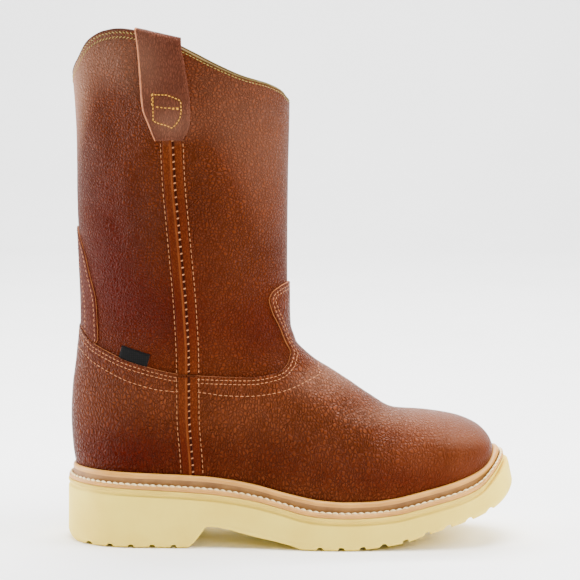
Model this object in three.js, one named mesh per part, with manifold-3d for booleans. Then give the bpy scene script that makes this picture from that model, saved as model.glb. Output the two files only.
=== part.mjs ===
// A pull-on roper work boot, the right one of the pair, standing empty on its sole.
// Millimetres. +Z is up, the toe points along +X and the outer side of the foot is -Y.
// The origin is the middle of the footprint, on the floor.
// The upper is one hollow wall of leather. A fan of sections runs from the toe tip, over the
// instep and round the throat, to level sections of the shaft. Every overlay is cut out of
// that same surface, pushed outward, so it follows the leather below it.

import * as THREE from 'three';
import { mergeVertices } from 'three/addons/utils/BufferGeometryUtils.js';
import Module from 'manifold-3d';

const wasm = await Module();
wasm.setup();

// Main sizes. Tables hold shares of them, one size for each column.
const LENGTH = 307.9; // over the outsole
const HEIGHT = 350.4; // from the floor to the top of the straps
const BALL_WIDTH = 83.6; // at the feather line, where wall and welt meet
const TOE = 0.4479; // toe tip and heel back of the upper's wall, in shares of the length
const HEEL_BACK = -0.4732;
const TOE_X = TOE * LENGTH;
const HEEL_X = HEEL_BACK * LENGTH;

// Driving sizes
const GAP = 0.3; // between two curved pieces that lie on each other
const WALL = 2.0; // leather of the upper
const VAMP_THICK = 1.6; // the foot piece over it
const TRIM_THICK = 0.9; // seam strips and back stay
const LABEL_THICK = 0.7;
const STRAP_THICK = 2.2; // pull strap, leather and backing
const WELT_OUT = 11.3; // the welt's edge outside the feather line, at the waist
const TOE_FLARE = 6.4; // the outsole beyond the welt's edge, at the toe
const WELT_EDGE = 2.7; // height of the welt's outer edge
const BEAD_HIGH = 4.5; // raised bead of the welt over the feather line
const BEAD_WIDE = 4.7;
const WELT_UNDER = 8; // how far it reaches in under the upper
const LIP_THICK = 2.4; // midsole
const INSOLE_THICK = 3;
const GROOVE_DEEP = 2.3; // cross grooves of the tread
const GROOVE_WIDE = 4.4;
const GROOVE_PITCH = 14.5;
const HEEL_GROOVES = { first: -0.445 * LENGTH, count: 5 };
const FORE_GROOVES = { first: 0.065 * LENGTH, count: 9 };

const vampFace = GAP + VAMP_THICK; // outer face of the foot piece, from the wall's
const formFace = vampFace + GAP;
const trimFace = GAP + TRIM_THICK;
const CUT_CLEAR = GAP + 0.1; // between the foot piece's edge and what ends at it
const CUT_NEAR = 0.15 * BALL_WIDTH; // cutters for one side start here
const CUT_REACH = BALL_WIDTH; // cutters run this far to each side

// Mesh fineness
const COLUMNS = 30; // round the boot
const STATIONS = 26; // along each side of the sole
const PROFILE_STEPS = 28; // samples in each quarter of a section
const OUTLINE_STEPS = 3; // outline points between two rows of a cutting table

// Tables, a row for each section or station

// Sections of the upper's outer face. back and front are the section's ends in side view,
// outer and inner its greatest half widths, widest the share of the height where they lie,
// low and high the roundness below and above that (2 is an ellipse), and bow how upright the
// section leaves its back end before it leans to the front (1 is a straight line).
const SECTIONS = rows({
  backX: LENGTH, backZ: HEIGHT, frontX: LENGTH, frontZ: HEIGHT,
  outer: BALL_WIDTH, inner: BALL_WIDTH, widest: 1, low: 1, high: 1, bow: 1,
}, [
  [TOE, 0.1684, TOE, 0.1684, 0, 0, 0.4, 2.2, 2.2, 1],
  [0.4437, 0.1627, 0.4482, 0.1821, 0.1651, 0.1675, 0.4, 2.2, 2.2, 1],
  [0.4271, 0.145, 0.4437, 0.1941, 0.299, 0.3062, 0.4, 2.2, 2.3, 1],
  [0.393, 0.1261, 0.4232, 0.2146, 0.4067, 0.4187, 0.38, 2.2, 2.3, 1],
  [0.3378, 0.1093, 0.3735, 0.2349, 0.4785, 0.4952, 0.36, 2.2, 2.2, 1],
  [0.2728, 0.0936, 0.3085, 0.2454, 0.5072, 0.5239, 0.34, 2.2, 2.1, 1],
  [0.2014, 0.0813, 0.2371, 0.252, 0.5311, 0.5215, 0.33, 2.2, 2.0, 1],
  [0.1234, 0.0782, 0.1689, 0.2822, 0.5263, 0.4833, 0.35, 2.2, 1.95, 1.05],
  [0.039, 0.0856, 0.1039, 0.3179, 0.4976, 0.4402, 0.38, 2.2, 1.95, 1.12],
  [-0.0585, 0.1056, 0.0487, 0.3527, 0.4665, 0.4258, 0.44, 2.2, 2.0, 1.2],
  [-0.1624, 0.1216, 0.0104, 0.3881, 0.4593, 0.4402, 0.52, 2.2, 2.0, 1.3],
  [-0.2696, 0.129, -0.0039, 0.4209, 0.4665, 0.4593, 0.58, 2.2, 2.0, 1.4],
  [-0.367, 0.1316, -0.0055, 0.4495, 0.4809, 0.4761, 0.62, 2.1, 2.0, 1.5],
  [-0.4385, 0.1341, -0.0058, 0.4752, 0.4904, 0.4856, 0.64, 2.1, 2.0, 1.55],
  [HEEL_BACK, 0.1364, -0.0058, 0.4994, 0.4976, 0.4928, 0.65, 2.1, 2.0, 1.6],
  [-0.4852, 0.2397, -0.0058, 0.5451, 0.5263, 0.5215, 0.64, 2.1, 2.0, 1.5],
  [-0.4774, 0.3368, -0.0055, 0.5993, 0.5431, 0.5383, 0.58, 2.1, 2.0, 1.25],
  [-0.4651, 0.4424, -0.0049, 0.6621, 0.555, 0.5502, 0.52, 2.0, 2.0, 1.05],
  [-0.4683, 0.5565, -0.0039, 0.7249, 0.5622, 0.5598, 0.5, 2.0, 2.0, 1],
  [-0.4735, 0.6849, -0.0019, 0.7934, 0.5694, 0.5694, 0.5, 2.0, 2.0, 1],
  [-0.4735, 0.7991, -0.0006, 0.8562, 0.5742, 0.5742, 0.5, 2.0, 2.0, 1],
  [-0.482, 0.9275, -0.0019, 0.9361, 0.5789, 0.5789, 0.5, 2.0, 2.0, 1],
  [-0.4859, 1.0331, -0.0032, 1.0331, 0.5837, 0.5837, 0.5, 2.0, 2.0, 1],
]);
const LAST_ROW = SECTIONS.length - 1;
// The row whose back end is the heel's feather point, and the one above which the mesh rows
// spread out to the collar line.
const HEEL_ROW = SECTIONS.findIndex((section) => section.backX === HEEL_X);
const LEVEL_ROW = HEEL_ROW + 3;
const HEEL_TAKES_OVER = { from: 8.5, to: 12 }; // sections whose back half follows HEEL

// The heel and back of the shaft by height: back line, half widths, and how far in from the
// back line the full width is reached.
const HEEL = rows({
  z: HEIGHT, back: LENGTH, outer: BALL_WIDTH, inner: BALL_WIDTH,
  depth: LENGTH,
}, [
  [0.1364, HEEL_BACK, 0.3923, 0.3852, 0.1322],
  [0.1826, -0.4816, 0.4091, 0.4043, 0.1494],
  [0.2397, -0.4852, 0.433, 0.4282, 0.1754],
  [0.2968, -0.4823, 0.4641, 0.4593, 0.2014],
  [0.3539, -0.4739, 0.4976, 0.4928, 0.2209],
  [0.4424, -0.4651, 0.5383, 0.5335, 0.2306],
  [0.5565, -0.4683, 0.5622, 0.5598, 0.2322],
  [0.6849, -0.4739, 0.5694, 0.5694, 0.2358],
  [0.7991, -0.4735, 0.5742, 0.5742, 0.2364],
  [0.9275, -0.482, 0.5789, 0.5789, 0.24],
  [1.0331, -0.4859, 0.5837, 0.5837, 0.2413],
]);

// Plan of the feather line: half widths before the round ends are taken off.
const PLAN = rows({ x: LENGTH, outer: BALL_WIDTH, inner: BALL_WIDTH }, [
  [-0.4872, 0.3888, 0.3828],
  [-0.3735, 0.3923, 0.3852],
  [-0.2858, 0.3923, 0.3732],
  [-0.1884, 0.39, 0.3421],
  [-0.0909, 0.4091, 0.3278],
  [0, 0.4569, 0.3517],
  [0.0715, 0.4928, 0.4043],
  [0.1234, 0.5, 0.4545],
  [0.1754, 0.4964, 0.4928],
  [0.2144, 0.4856, 0.5],
  [0.2728, 0.4773, 0.4976],
  [0.3378, 0.4725, 0.4928],
  [0.4482, 0.4701, 0.4856],
]);
const TOE_ROUND = { from: 0.2533 * LENGTH, to: TOE_X, power: 2.5 };
const HEEL_ROUND = { from: HEEL_X + HEEL[0].depth, to: HEEL_X, power: 2.1 };

// Heights along the boot: feather line, underside of the welt, and bottom of the outsole.
const HEIGHTS = rows({ x: LENGTH, feather: HEIGHT, welt: HEIGHT }, [
  [-0.5067, 0.1378, 0.1219],
  [-0.3475, 0.1316, 0.1156],
  [-0.1949, 0.1247, 0.1079],
  [-0.1299, 0.1182, 0.1016],
  [-0.0715, 0.1084, 0.0928],
  [-0.013, 0.0956, 0.0799],
  [0.026, 0.0879, 0.0708],
  [0.0682, 0.0813, 0.0654],
  [0.1234, 0.0782, 0.0634],
  [0.1754, 0.0793, 0.0648],
  [0.2306, 0.0853, 0.0696],
  [0.2858, 0.097, 0.0813],
  [0.3313, 0.1076, 0.0916],
  [0.3703, 0.1182, 0.1005],
  [0.4092, 0.133, 0.1124],
  [0.4287, 0.1455, 0.1227],
  [0.4482, 0.1684, 0.1387],
  [0.4774, 0.1969, 0.1655],
  [0.5099, 0.2226, 0.1884],
]);
const BOTTOM = rows({ x: LENGTH, z: HEIGHT }, [
  [-0.5099, 0.0157],
  [-0.4937, 0.0063],
  [-0.4742, 0],
  [-0.2273, 0],
  [-0.2144, 0.008],
  [-0.1949, 0.0291],
  [-0.1835, 0.0417],
  [-0.1656, 0.0411],
  [-0.1429, 0.0382],
  [-0.1072, 0.03],
  [-0.0715, 0.0223],
  [-0.0325, 0.0154],
  [0, 0.0086],
  [0.0325, 0],
  [0.1364, 0],
  [0.1884, 0.0051],
  [0.2273, 0.01],
  [0.2598, 0.0166],
  [0.2858, 0.0251],
  [0.328, 0.0371],
  [0.3703, 0.0479],
  [0.4092, 0.0582],
  [0.4449, 0.0708],
  [0.4677, 0.0816],
  [0.4872, 0.0947],
  [0.5099, 0.1156],
]);

// Margins outward from the feather line: welt edge, and outsole beyond that edge.
const MARGINS = rows({ x: LENGTH, welt: WELT_OUT, flare: TOE_FLARE }, [
  [-0.5067, 0.664, 0.125],
  [-0.4742, 0.664, 0.125],
  [-0.3897, 0.779, 0.141],
  [-0.2273, 0.956, 0.141],
  [-0.065, 1, 0.141],
  [0.3248, 1, 0.141],
  [0.3962, 0.973, 0.344],
  [0.4482, 0.85, 1],
  [0.5099, 0.85, 1],
]);

// Collar line by share of the way round, from the back to the front.
const COLLAR = rows({ share: 1, z: HEIGHT }, [
  [-0.1, 0.9389],
  [0, 0.9118],
  [0.1, 0.9389],
  [0.172, 0.976],
  [0.242, 0.9932],
  [0.302, 0.9977],
  [0.36, 0.9943],
  [0.444, 0.9789],
  [0.536, 0.9543],
  [0.62, 0.9304],
  [0.72, 0.907],
  [0.834, 0.891],
  [0.9, 0.879],
  [0.95, 0.8653],
  [1, 0.8602],
  [1.05, 0.8653],
]);

// Top edge of the foot piece in side view, from the heel to the throat.
const VAMP_LINE = rows({ x: LENGTH, z: HEIGHT }, [
  [-0.5521, 0.4309],
  [-0.4742, 0.4275],
  [-0.4352, 0.3955],
  [-0.3962, 0.3784],
  [-0.3589, 0.3647],
  [-0.3085, 0.3522],
  [-0.2481, 0.3402],
  [-0.2014, 0.3365],
  [-0.1397, 0.333],
  [-0.0844, 0.3308],
  [-0.0487, 0.3336],
  [-0.0195, 0.3402],
  [-0.0049, 0.3527],
]);

// The rest of the foot piece's outline: the throat, and far round under the foot.
const THROAT = rows({ x: LENGTH, z: HEIGHT }, [
  [0.0019, 0.3739],
  [0.0019, 0.3967],
  [0.5846, 0.3967],
  [0.5846, 0.0143],
  [-0.5521, 0.0143],
]);

// Tab of the foot piece up the front, and back stay up the heel: half widths seen from the
// front and from behind.
const TAB = rows({ z: HEIGHT, half: BALL_WIDTH }, [
  [0.3425, 0.2512],
  [0.3596, 0.2105],
  [0.3796, 0.1938],
  [0.4024, 0.1914],
  [0.4281, 0.2225],
  [0.4509, 0.256],
  [0.4709, 0.2656],
  [0.488, 0.244],
  [0.5, 0.1734],
  [0.5063, 0.0718],
  [0.5074, 0],
]);
const STAY = rows({ z: HEIGHT, half: BALL_WIDTH }, [
  [0.371, 0.3349],
  [0.4281, 0.3182],
  [0.4795, 0.299],
  [0.5251, 0.2727],
  [0.5622, 0.2344],
  [0.5879, 0.1746],
  [0.605, 0.1029],
  [0.6147, 0.0359],
  [0.6164, 0],
]);

// Side seam: x of its middle by height.
const SEAM = rows({ z: HEIGHT, x: LENGTH }, [
  [0.1142, -0.2124],
  [0.1484, -0.2131],
  [0.2626, -0.2205],
  [0.3596, -0.2205],
  [0.4538, -0.2244],
  [0.6193, -0.2394],
  [0.7078, -0.2478],
  [0.8276, -0.2533],
]);
const SEAM_BEHIND = 7.4; // strip behind and in front of that middle
const SEAM_AHEAD = 5.6;
const SEAM_TOP = 0.7865 * HEIGHT; // just under the pull strap

// Pull strap in side view: its back and front edge by height, from its lower end.
const STRAP = rows({ z: HEIGHT, back: LENGTH, front: LENGTH }, [
  [0.7877, -0.2917, -0.2303],
  [0.8162, -0.3043, -0.2157],
  [0.8505, -0.3176, -0.2140],
  [0.9104, -0.3235, -0.2196],
  [0.9532, -0.3261, -0.2247],
  [1.0160, -0.3339, -0.2485],
]);

// Small woven label beside the heel, its lower edge under the foot piece.
const LABEL = { x: -0.3399 * LENGTH, z: 0.3741 * HEIGHT, long: 20, high: 8.2, tilt: -0.284 };

// Helpers

// A table's rows by column name, each share turned into the length that it stands for.
function rows(sizes, values) {
  return values.map((row) => Object.fromEntries(
    Object.entries(sizes).map(([name, size], i) => [name, row[i] * size])));
}

// Monotone cubic through one column of a table, over another.
function curve(table, keyName, valueName) {
  const keys = table.map((row, i) => (keyName ? row[keyName] : i));
  const values = table.map((row) => row[valueName]);
  const slopes = keys.slice(1).map((key, i) => (values[i + 1] - values[i]) / (key - keys[i]));
  const tangents = keys.map((key, i) => {
    if (i === 0) return slopes[0];
    if (i === keys.length - 1) return slopes[i - 1];
    const [a, b] = [slopes[i - 1], slopes[i]];
    if (a * b <= 0) return 0;
    const [ha, hb] = [keys[i] - keys[i - 1], keys[i + 1] - keys[i]];
    const [wa, wb] = [2 * hb + ha, hb + 2 * ha];
    return (wa + wb) / (wa / a + wb / b);
  });
  return (at) => {
    const key = Math.min(Math.max(at, keys[0]), keys[keys.length - 1]);
    let i = 0;
    while (i < keys.length - 2 && key > keys[i + 1]) i += 1;
    const h = keys[i + 1] - keys[i];
    const u = (key - keys[i]) / h;
    return values[i] * (1 + 2 * u) * (1 - u) ** 2 + values[i + 1] * u * u * (3 - 2 * u)
      + tangents[i] * h * u * (1 - u) ** 2 + tangents[i + 1] * h * u * u * (u - 1);
  };
}

const steps = (count) => Array.from({ length: count + 1 }, (_, i) => i / count);
const mix = (a, b, share) => a + (b - a) * share;

// Plan of the feather line

const planOuter = curve(PLAN, 'x', 'outer');
const planInner = curve(PLAN, 'x', 'inner');
const featherZ = curve(HEIGHTS, 'x', 'feather');
const weltZ = curve(HEIGHTS, 'x', 'welt');
const bottomZ = curve(BOTTOM, 'x', 'z');
const weltMargin = curve(MARGINS, 'x', 'welt');
const soleFlare = curve(MARGINS, 'x', 'flare');

function roundEnd(x, end) {
  const share = (x - end.from) / (end.to - end.from);
  if (share <= 0) return 1;
  if (share >= 1) return 0;
  return (1 - share ** end.power) ** (1 / end.power);
}

function featherHalf(x, side) {
  const half = side < 0 ? planOuter(x) : planInner(x);
  return half * roundEnd(x, TOE_ROUND) * roundEnd(x, HEEL_ROUND);
}

// The upper's outer face: t counts the sections, share runs from the outer feather edge
// (0) over the ridge or front (0.5) to the inner one (1).

const sectionCurves = Object.fromEntries(
  Object.keys(SECTIONS[0]).map((name) => [name, curve(SECTIONS, null, name)]),
);

const heelCurves = Object.fromEntries(
  Object.keys(HEEL[0]).filter((name) => name !== 'z').map((name) => [name, curve(HEEL, 'z', name)]),
);

function sectionAt(t) {
  const section = {};
  for (const name of Object.keys(sectionCurves)) section[name] = sectionCurves[name](t);
  if (t <= HEEL_ROW) section.backZ = featherZ(section.backX);
  else section.backX = heelCurves.back(section.backZ);
  if (t === 0) section.frontZ = section.backZ;
  return section;
}

// Half width of the heel and the back of the shaft at one place in side view.
function heelHalf(x, z, side) {
  const full = side < 0 ? heelCurves.outer(z) : heelCurves.inner(z);
  const share = Math.min(1, Math.max(0, (x - heelCurves.back(z)) / heelCurves.depth(z)));
  return full * (1 - (1 - share) ** HEEL_ROUND.power) ** (1 / HEEL_ROUND.power);
}

// One half of a section, from its lower or back end to its upper or front end, as places
// with the length run so far. across is signed by the side.
function halfSection(t, side) {
  const section = sectionAt(t);
  const { widest, low, high } = section;
  const placeAt = (up) => [
    mix(section.backX, section.frontX, up ** section.bow),
    mix(section.backZ, section.frontZ, up),
  ];
  const { from, to } = HEEL_TAKES_OVER;
  const heelShare = THREE.MathUtils.smoothstep(t, from, to);
  const foot = t < HEEL_ROW ? featherHalf(section.backX, side) : 0;
  const own = Math.max(side < 0 ? section.outer : section.inner, foot * 1.02);
  const half = mix(own, heelHalf(...placeAt(widest), side), heelShare);
  const footAngle = half > 0 ? Math.asin(Math.min(1, (foot / half) ** (low / 2))) : 0;
  const footRest = Math.cos(footAngle) ** (2 / low);
  const footGap = foot - heelHalf(...placeAt(0), side);
  const places = [];
  for (const step of steps(PROFILE_STEPS)) {
    const angle = mix(footAngle, Math.PI / 2, step);
    const rest = Math.min(1, Math.max(0, Math.cos(angle)) ** (2 / low) / footRest);
    const up = widest * (1 - rest);
    const heel = heelHalf(...placeAt(up), side) + footGap * rest ** 4;
    places.push([up, mix(half * Math.sin(angle) ** (2 / low), heel, heelShare)]);
  }
  places[0] = [0, foot];
  for (const step of steps(PROFILE_STEPS).slice(1)) {
    const angle = (step * Math.PI) / 2;
    const up = widest + (1 - widest) * Math.sin(angle) ** (2 / high);
    places.push([up, half * Math.max(0, Math.cos(angle)) ** (2 / high)]);
  }
  places[places.length - 1] = [1, 0];
  const run = [];
  for (const [up, across] of places) {
    const [x, z] = placeAt(up);
    const point = new THREE.Vector3(x, side * across, z);
    const last = run[run.length - 1];
    run.push({ point, run: last ? last.run + point.distanceTo(last.point) : 0 });
  }
  return run;
}

const halfStore = new Map();

function skin(t, share) {
  const side = share <= 0.5 ? -1 : 1;
  const key = `${t.toFixed(6)} ${side}`;
  if (!halfStore.has(key)) halfStore.set(key, halfSection(t, side));
  const places = halfStore.get(key);
  const along = (side < 0 ? 2 * share : 2 * (1 - share)) * places[places.length - 1].run;
  let i = 1;
  while (i < places.length - 1 && places[i].run < along) i += 1;
  const [a, b] = [places[i - 1], places[i]];
  const part = b.run > a.run ? (along - a.run) / (b.run - a.run) : 0;
  return a.point.clone().lerp(b.point, Math.min(1, Math.max(0, part)));
}

const collarZ = curve(COLLAR, 'share', 'z');

function collarRow(share) {
  const wanted = collarZ(1 - Math.abs(1 - 2 * share));
  let [low, high] = [LEVEL_ROW, LAST_ROW];
  for (let i = 0; i < 30; i += 1) {
    const middle = (low + high) / 2;
    if (skin(middle, share).z < wanted) low = middle;
    else high = middle;
  }
  return (low + high) / 2;
}

// Mesh rows: the sections, closer at the toe tip and heel, then rows spread to the collar.
const FOOT_ROWS = [0, 0.5, 1, 1.5, 2, 3, 4, 5, 6, 7, 8, 9, 10, 11, 12, 13, 13.5, 14, 15, 16, 17];
const SHAFT_STEPS = 5;
const MESH_ROWS = FOOT_ROWS.length + SHAFT_STEPS;
const HEEL_MESH_ROW = FOOT_ROWS.indexOf(HEEL_ROW);
const LEVEL_MESH_ROW = FOOT_ROWS.length - 1;
const COLLAR_MESH_ROW = MESH_ROWS - 1;

const skinPoints = [];
for (let r = 0; r < MESH_ROWS; r += 1) {
  skinPoints.push(steps(COLUMNS).map((share) => {
    if (r < FOOT_ROWS.length) return skin(FOOT_ROWS[r], share);
    return skin(mix(LEVEL_ROW, collarRow(share), (r - LEVEL_MESH_ROW) / SHAFT_STEPS), share);
  }));
}

// Outward directions: mean of the faces that meet at each place, joined up along the back.
const skinNormals = skinPoints.map((row) => row.map(() => new THREE.Vector3()));
for (let r = 0; r < MESH_ROWS - 1; r += 1) {
  for (let c = 0; c < COLUMNS; c += 1) {
    const [a, b] = [skinPoints[r][c], skinPoints[r][c + 1]];
    const [d, e] = [skinPoints[r + 1][c], skinPoints[r + 1][c + 1]];
    const face = e.clone().sub(a).cross(d.clone().sub(b));
    for (const [i, j] of [[r, c], [r, c + 1], [r + 1, c], [r + 1, c + 1]]) {
      skinNormals[i][j].add(face);
    }
  }
}
skinNormals.forEach((row, r) => {
  if (r >= HEEL_MESH_ROW) {
    const back = row[0].clone().add(row[COLUMNS]);
    row[0].copy(back);
    row[COLUMNS].copy(back);
  }
  if (r === 0) row.forEach((normal) => normal.set(1, 0, 0));
  row.forEach((normal) => normal.normalize());
});

// Each quad of the skin is cut along its shorter diagonal, in every push of it alike.
function isCutAcross(r, c) {
  const long = skinPoints[r][c].distanceTo(skinPoints[r + 1][c + 1]);
  return skinPoints[r][c + 1].distanceTo(skinPoints[r + 1][c]) < long;
}

function onFeather(r, c) {
  return r <= HEEL_MESH_ROW && (c === 0 || c === COLUMNS);
}

// The skin pushed outward. Its lower edge and its collar edge stay at their heights.
function pushed(r, c, distance, drop = 0) {
  const normal = skinNormals[r][c].clone();
  const atEdge = onFeather(r, c) || r === COLLAR_MESH_ROW || r === 0;
  if (atEdge) {
    normal.z = 0;
    normal.normalize();
  }
  const point = skinPoints[r][c].clone().addScaledVector(normal, distance);
  if (onFeather(r, c) || r === 0) point.z -= drop;
  return point;
}

// Solids

function solidOf(points, faces) {
  const places = new Map();
  const flat = [];
  const number = points.map((point) => {
    const key = `${point.x.toFixed(4)},${point.y.toFixed(4)},${point.z.toFixed(4)}`;
    if (!places.has(key)) {
      places.set(key, places.size);
      flat.push(point.x, point.y, point.z);
    }
    return places.get(key);
  });
  let triangles = faces.map((face) => face.map((i) => number[i]))
    .filter(([a, b, c]) => a !== b && b !== c && a !== c);
  const corner = (i) => new THREE.Vector3(flat[3 * i], flat[3 * i + 1], flat[3 * i + 2]);
  const volume = triangles.reduce(
    (sum, [a, b, c]) => sum + corner(a).dot(corner(b).cross(corner(c))), 0);
  if (volume < 0) triangles = triangles.map(([a, b, c]) => [a, c, b]);
  return new wasm.Manifold(new wasm.Mesh({
    numProp: 3,
    vertProperties: new Float32Array(flat),
    triVerts: new Uint32Array(triangles.flat()),
  }));
}

// Rows of places, every row as long as the next, joined by two triangles a quad. isTurned
// tells which quads are cut along their other diagonal.
function net(grid, points, faces, isTurned = () => false) {
  const first = points.length;
  grid.forEach((row) => points.push(...row));
  const width = grid[0].length;
  for (let r = 0; r < grid.length - 1; r += 1) {
    for (let c = 0; c < width - 1; c += 1) {
      const a = first + r * width + c;
      const [b, d, e] = [a + 1, a + width, a + width + 1];
      if (isTurned(r, c)) faces.push([a, b, d], [b, e, d]);
      else faces.push([a, b, e], [a, e, d]);
    }
  }
}

// A wall between two pushes of the skin, from one mesh row to another.
function shell(fromRow, toRow, inner, outer) {
  const points = [];
  const faces = [];
  const sheet = (distance) => {
    const grid = [];
    for (let r = fromRow; r <= toRow; r += 1) {
      grid.push(steps(COLUMNS).map((_, c) => pushed(r, c, distance)));
    }
    return grid;
  };
  const [near, far] = [sheet(inner), sheet(outer)];
  const turned = (r, c) => isCutAcross(fromRow + r, c);
  net(far, points, faces, turned);
  net(near.map((row) => [...row].reverse()), points, faces, (r, c) => !turned(r, COLUMNS - 1 - c));
  net([near[near.length - 1], far[far.length - 1]].map((row) => [...row].reverse()), points, faces);
  if (fromRow > 0) net([near[0], far[0]], points, faces);
  if (fromRow < HEEL_MESH_ROW) {
    const open = HEEL_MESH_ROW + 1 - fromRow;
    const edge = (sheetRows, c) => sheetRows.slice(0, open).map((row) => row[c]);
    net([edge(far, 0), edge(near, 0)], points, faces);
    net([edge(near, COLUMNS), edge(far, COLUMNS)], points, faces);
  }
  return solidOf(points, faces);
}

// The closed body of the foot inside one push of the skin, its bottom lowered by drop.
function footForm(toRow, distance, drop) {
  const points = [];
  const faces = [];
  const grid = [];
  for (let r = 0; r <= toRow; r += 1) {
    grid.push(steps(COLUMNS).map((_, c) => pushed(r, c, distance, drop)));
  }
  net(grid, points, faces, isCutAcross);
  const open = grid.slice(0, HEEL_MESH_ROW + 1);
  net([open.map((row) => row[0]), open.map((row) => row[COLUMNS])], points, faces);
  const top = grid[toRow];
  const last = points.length;
  points.push(...top, top[0].clone().lerp(top[COLUMNS / 2], 0.5));
  for (let c = 0; c < COLUMNS; c += 1) {
    faces.push([last + c, last + c + 1, last + COLUMNS + 1]);
  }
  return solidOf(points, faces);
}

// A prism: an outline in side view run across, or one in front view run along.
function prism(outline, along, from, to) {
  const shape = new THREE.Shape(outline.map(([u, v]) => new THREE.Vector2(u, v)));
  const geometry = new THREE.ExtrudeGeometry(shape, { depth: to - from, bevelEnabled: false });
  const turn = new THREE.Matrix4();
  if (along === 'y') turn.set(1, 0, 0, 0, 0, 0, 1, from, 0, 1, 0, 0, 0, 0, 0, 1);
  else turn.set(0, 0, 1, from, 1, 0, 0, 0, 0, 1, 0, 0, 0, 0, 0, 1);
  geometry.applyMatrix4(turn);
  geometry.deleteAttribute('normal');
  geometry.deleteAttribute('uv');
  const merged = mergeVertices(geometry, 1e-4);
  const place = merged.getAttribute('position');
  const points = Array.from({ length: place.count }, (_, i) =>
    new THREE.Vector3().fromBufferAttribute(place, i));
  const faces = [];
  for (let i = 0; i < merged.index.count; i += 3) {
    faces.push([0, 1, 2].map((k) => merged.index.getX(i + k)));
  }
  return solidOf(points, faces);
}

function traced(table, keyName, valueName) {
  const value = curve(table, keyName, valueName);
  const keys = [];
  table.slice(1).forEach((row, i) => {
    for (const step of steps(OUTLINE_STEPS).slice(0, -1)) {
      keys.push(mix(table[i][keyName], row[keyName], step));
    }
  });
  keys.push(table[table.length - 1][keyName]);
  return keys.map((key) => [key, value(key)]);
}

// Everything under the foot piece's top edge, lifted by raise, with the tab up the front.
function underVampLine(raise) {
  const line = traced(VAMP_LINE, 'x', 'z').map(([x, z]) => [x, z + raise]);
  const throat = THROAT.map(({ x, z }) => [x, z + raise]);
  const body = prism([...line, ...throat], 'y', -CUT_REACH, CUT_REACH);
  const right = traced(TAB, 'z', 'half').map(([z, half]) => [-half - raise, z + raise]);
  const left = right.slice(0, -1).reverse().map(([y, z]) => [-y, z]);
  const tab = prism([...right, ...left], 'x', SEAM[0].x, LENGTH);
  return body.add(tab);
}

// Upper and its overlays

function makeUpper() {
  return shell(0, COLLAR_MESH_ROW, -WALL, 0);
}

function makeVamp() {
  return shell(0, LEVEL_MESH_ROW, GAP, vampFace).intersect(underVampLine(0));
}

function makeBackStay() {
  const right = traced(STAY, 'z', 'half').map(([z, half]) => [-half, z]);
  const left = right.slice(0, -1).reverse().map(([y, z]) => [-y, z]);
  const tongue = prism([...right, ...left], 'x', -LENGTH, HEEL_ROUND.from);
  const band = shell(FOOT_ROWS.indexOf(16), LEVEL_MESH_ROW + 2, GAP, trimFace);
  return band.intersect(tongue).subtract(underVampLine(CUT_CLEAR));
}

function seamOutline(bottom, top) {
  const middle = curve(SEAM, 'z', 'x');
  const heights = steps(6).map((step) => mix(bottom, top, step));
  const back = heights.map((z) => [middle(z) - SEAM_BEHIND, z]);
  const front = heights.map((z) => [middle(z) + SEAM_AHEAD, z]).reverse();
  return [...back, ...front];
}

const sideSpan = (side) => (side < 0 ? [-CUT_REACH, -CUT_NEAR] : [CUT_NEAR, CUT_REACH]);

function makeShaftSeam(side) {
  const band = shell(FOOT_ROWS.indexOf(11), COLLAR_MESH_ROW, GAP, trimFace);
  const strip = prism(seamOutline(0.285 * HEIGHT, SEAM_TOP), 'y', ...sideSpan(side));
  return band.intersect(strip).subtract(underVampLine(CUT_CLEAR));
}

function makeVampSeam(side) {
  const under = vampFace + GAP;
  const band = shell(FOOT_ROWS.indexOf(8), FOOT_ROWS.indexOf(16), under, under + TRIM_THICK);
  const middle = curve(SEAM, 'z', 'x');
  const foot = featherZ(middle(0.143 * HEIGHT)) + BEAD_HIGH + 1.2;
  const strip = prism(seamOutline(foot, 0.371 * HEIGHT), 'y', ...sideSpan(side));
  return band.intersect(strip).intersect(underVampLine(-0.6));
}

function makePullStrap(side) {
  const backEdge = STRAP.map(({ z, back }) => [back, z]);
  const frontEdge = STRAP.map(({ z, front }) => [front, z]).reverse();
  const outline = [...backEdge, ...frontEdge];
  return strapCuff.intersect(prism(outline, 'y', ...sideSpan(side)));
}

// The two legs and the fold of a pull strap, run round the whole collar before cutting.
function makeStrapCuff() {
  const from = LEVEL_MESH_ROW + 2;
  const ring = steps(COLUMNS).map((_, c) => {
    const leg = (distance) => {
      const places = [];
      for (let r = from; r <= COLLAR_MESH_ROW; r += 1) places.push(pushed(r, c, distance));
      return places;
    };
    const fold = (push, rise) => steps(4).slice(1, -1).map((step) => {
      const angle = step * Math.PI;
      const reach = WALL / 2 + push;
      const place = pushed(COLLAR_MESH_ROW, c, Math.cos(angle) * reach - WALL / 2);
      place.z += Math.sin(angle) * rise;
      return place;
    });
    const inner = leg(-WALL - GAP);
    const innerFar = leg(-WALL - GAP - STRAP_THICK);
    const outside = [...leg(GAP + STRAP_THICK), ...fold(GAP + STRAP_THICK, GAP + STRAP_THICK)];
    const inside = [...innerFar.reverse()];
    const back = [...inner, ...fold(GAP, GAP).reverse(), ...leg(GAP).reverse()];
    return [...outside, ...inside, ...back];
  });
  const points = [];
  const faces = [];
  net(ring.map((loop) => [...loop, loop[0]]), points, faces);
  return solidOf(points, faces);
}

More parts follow.
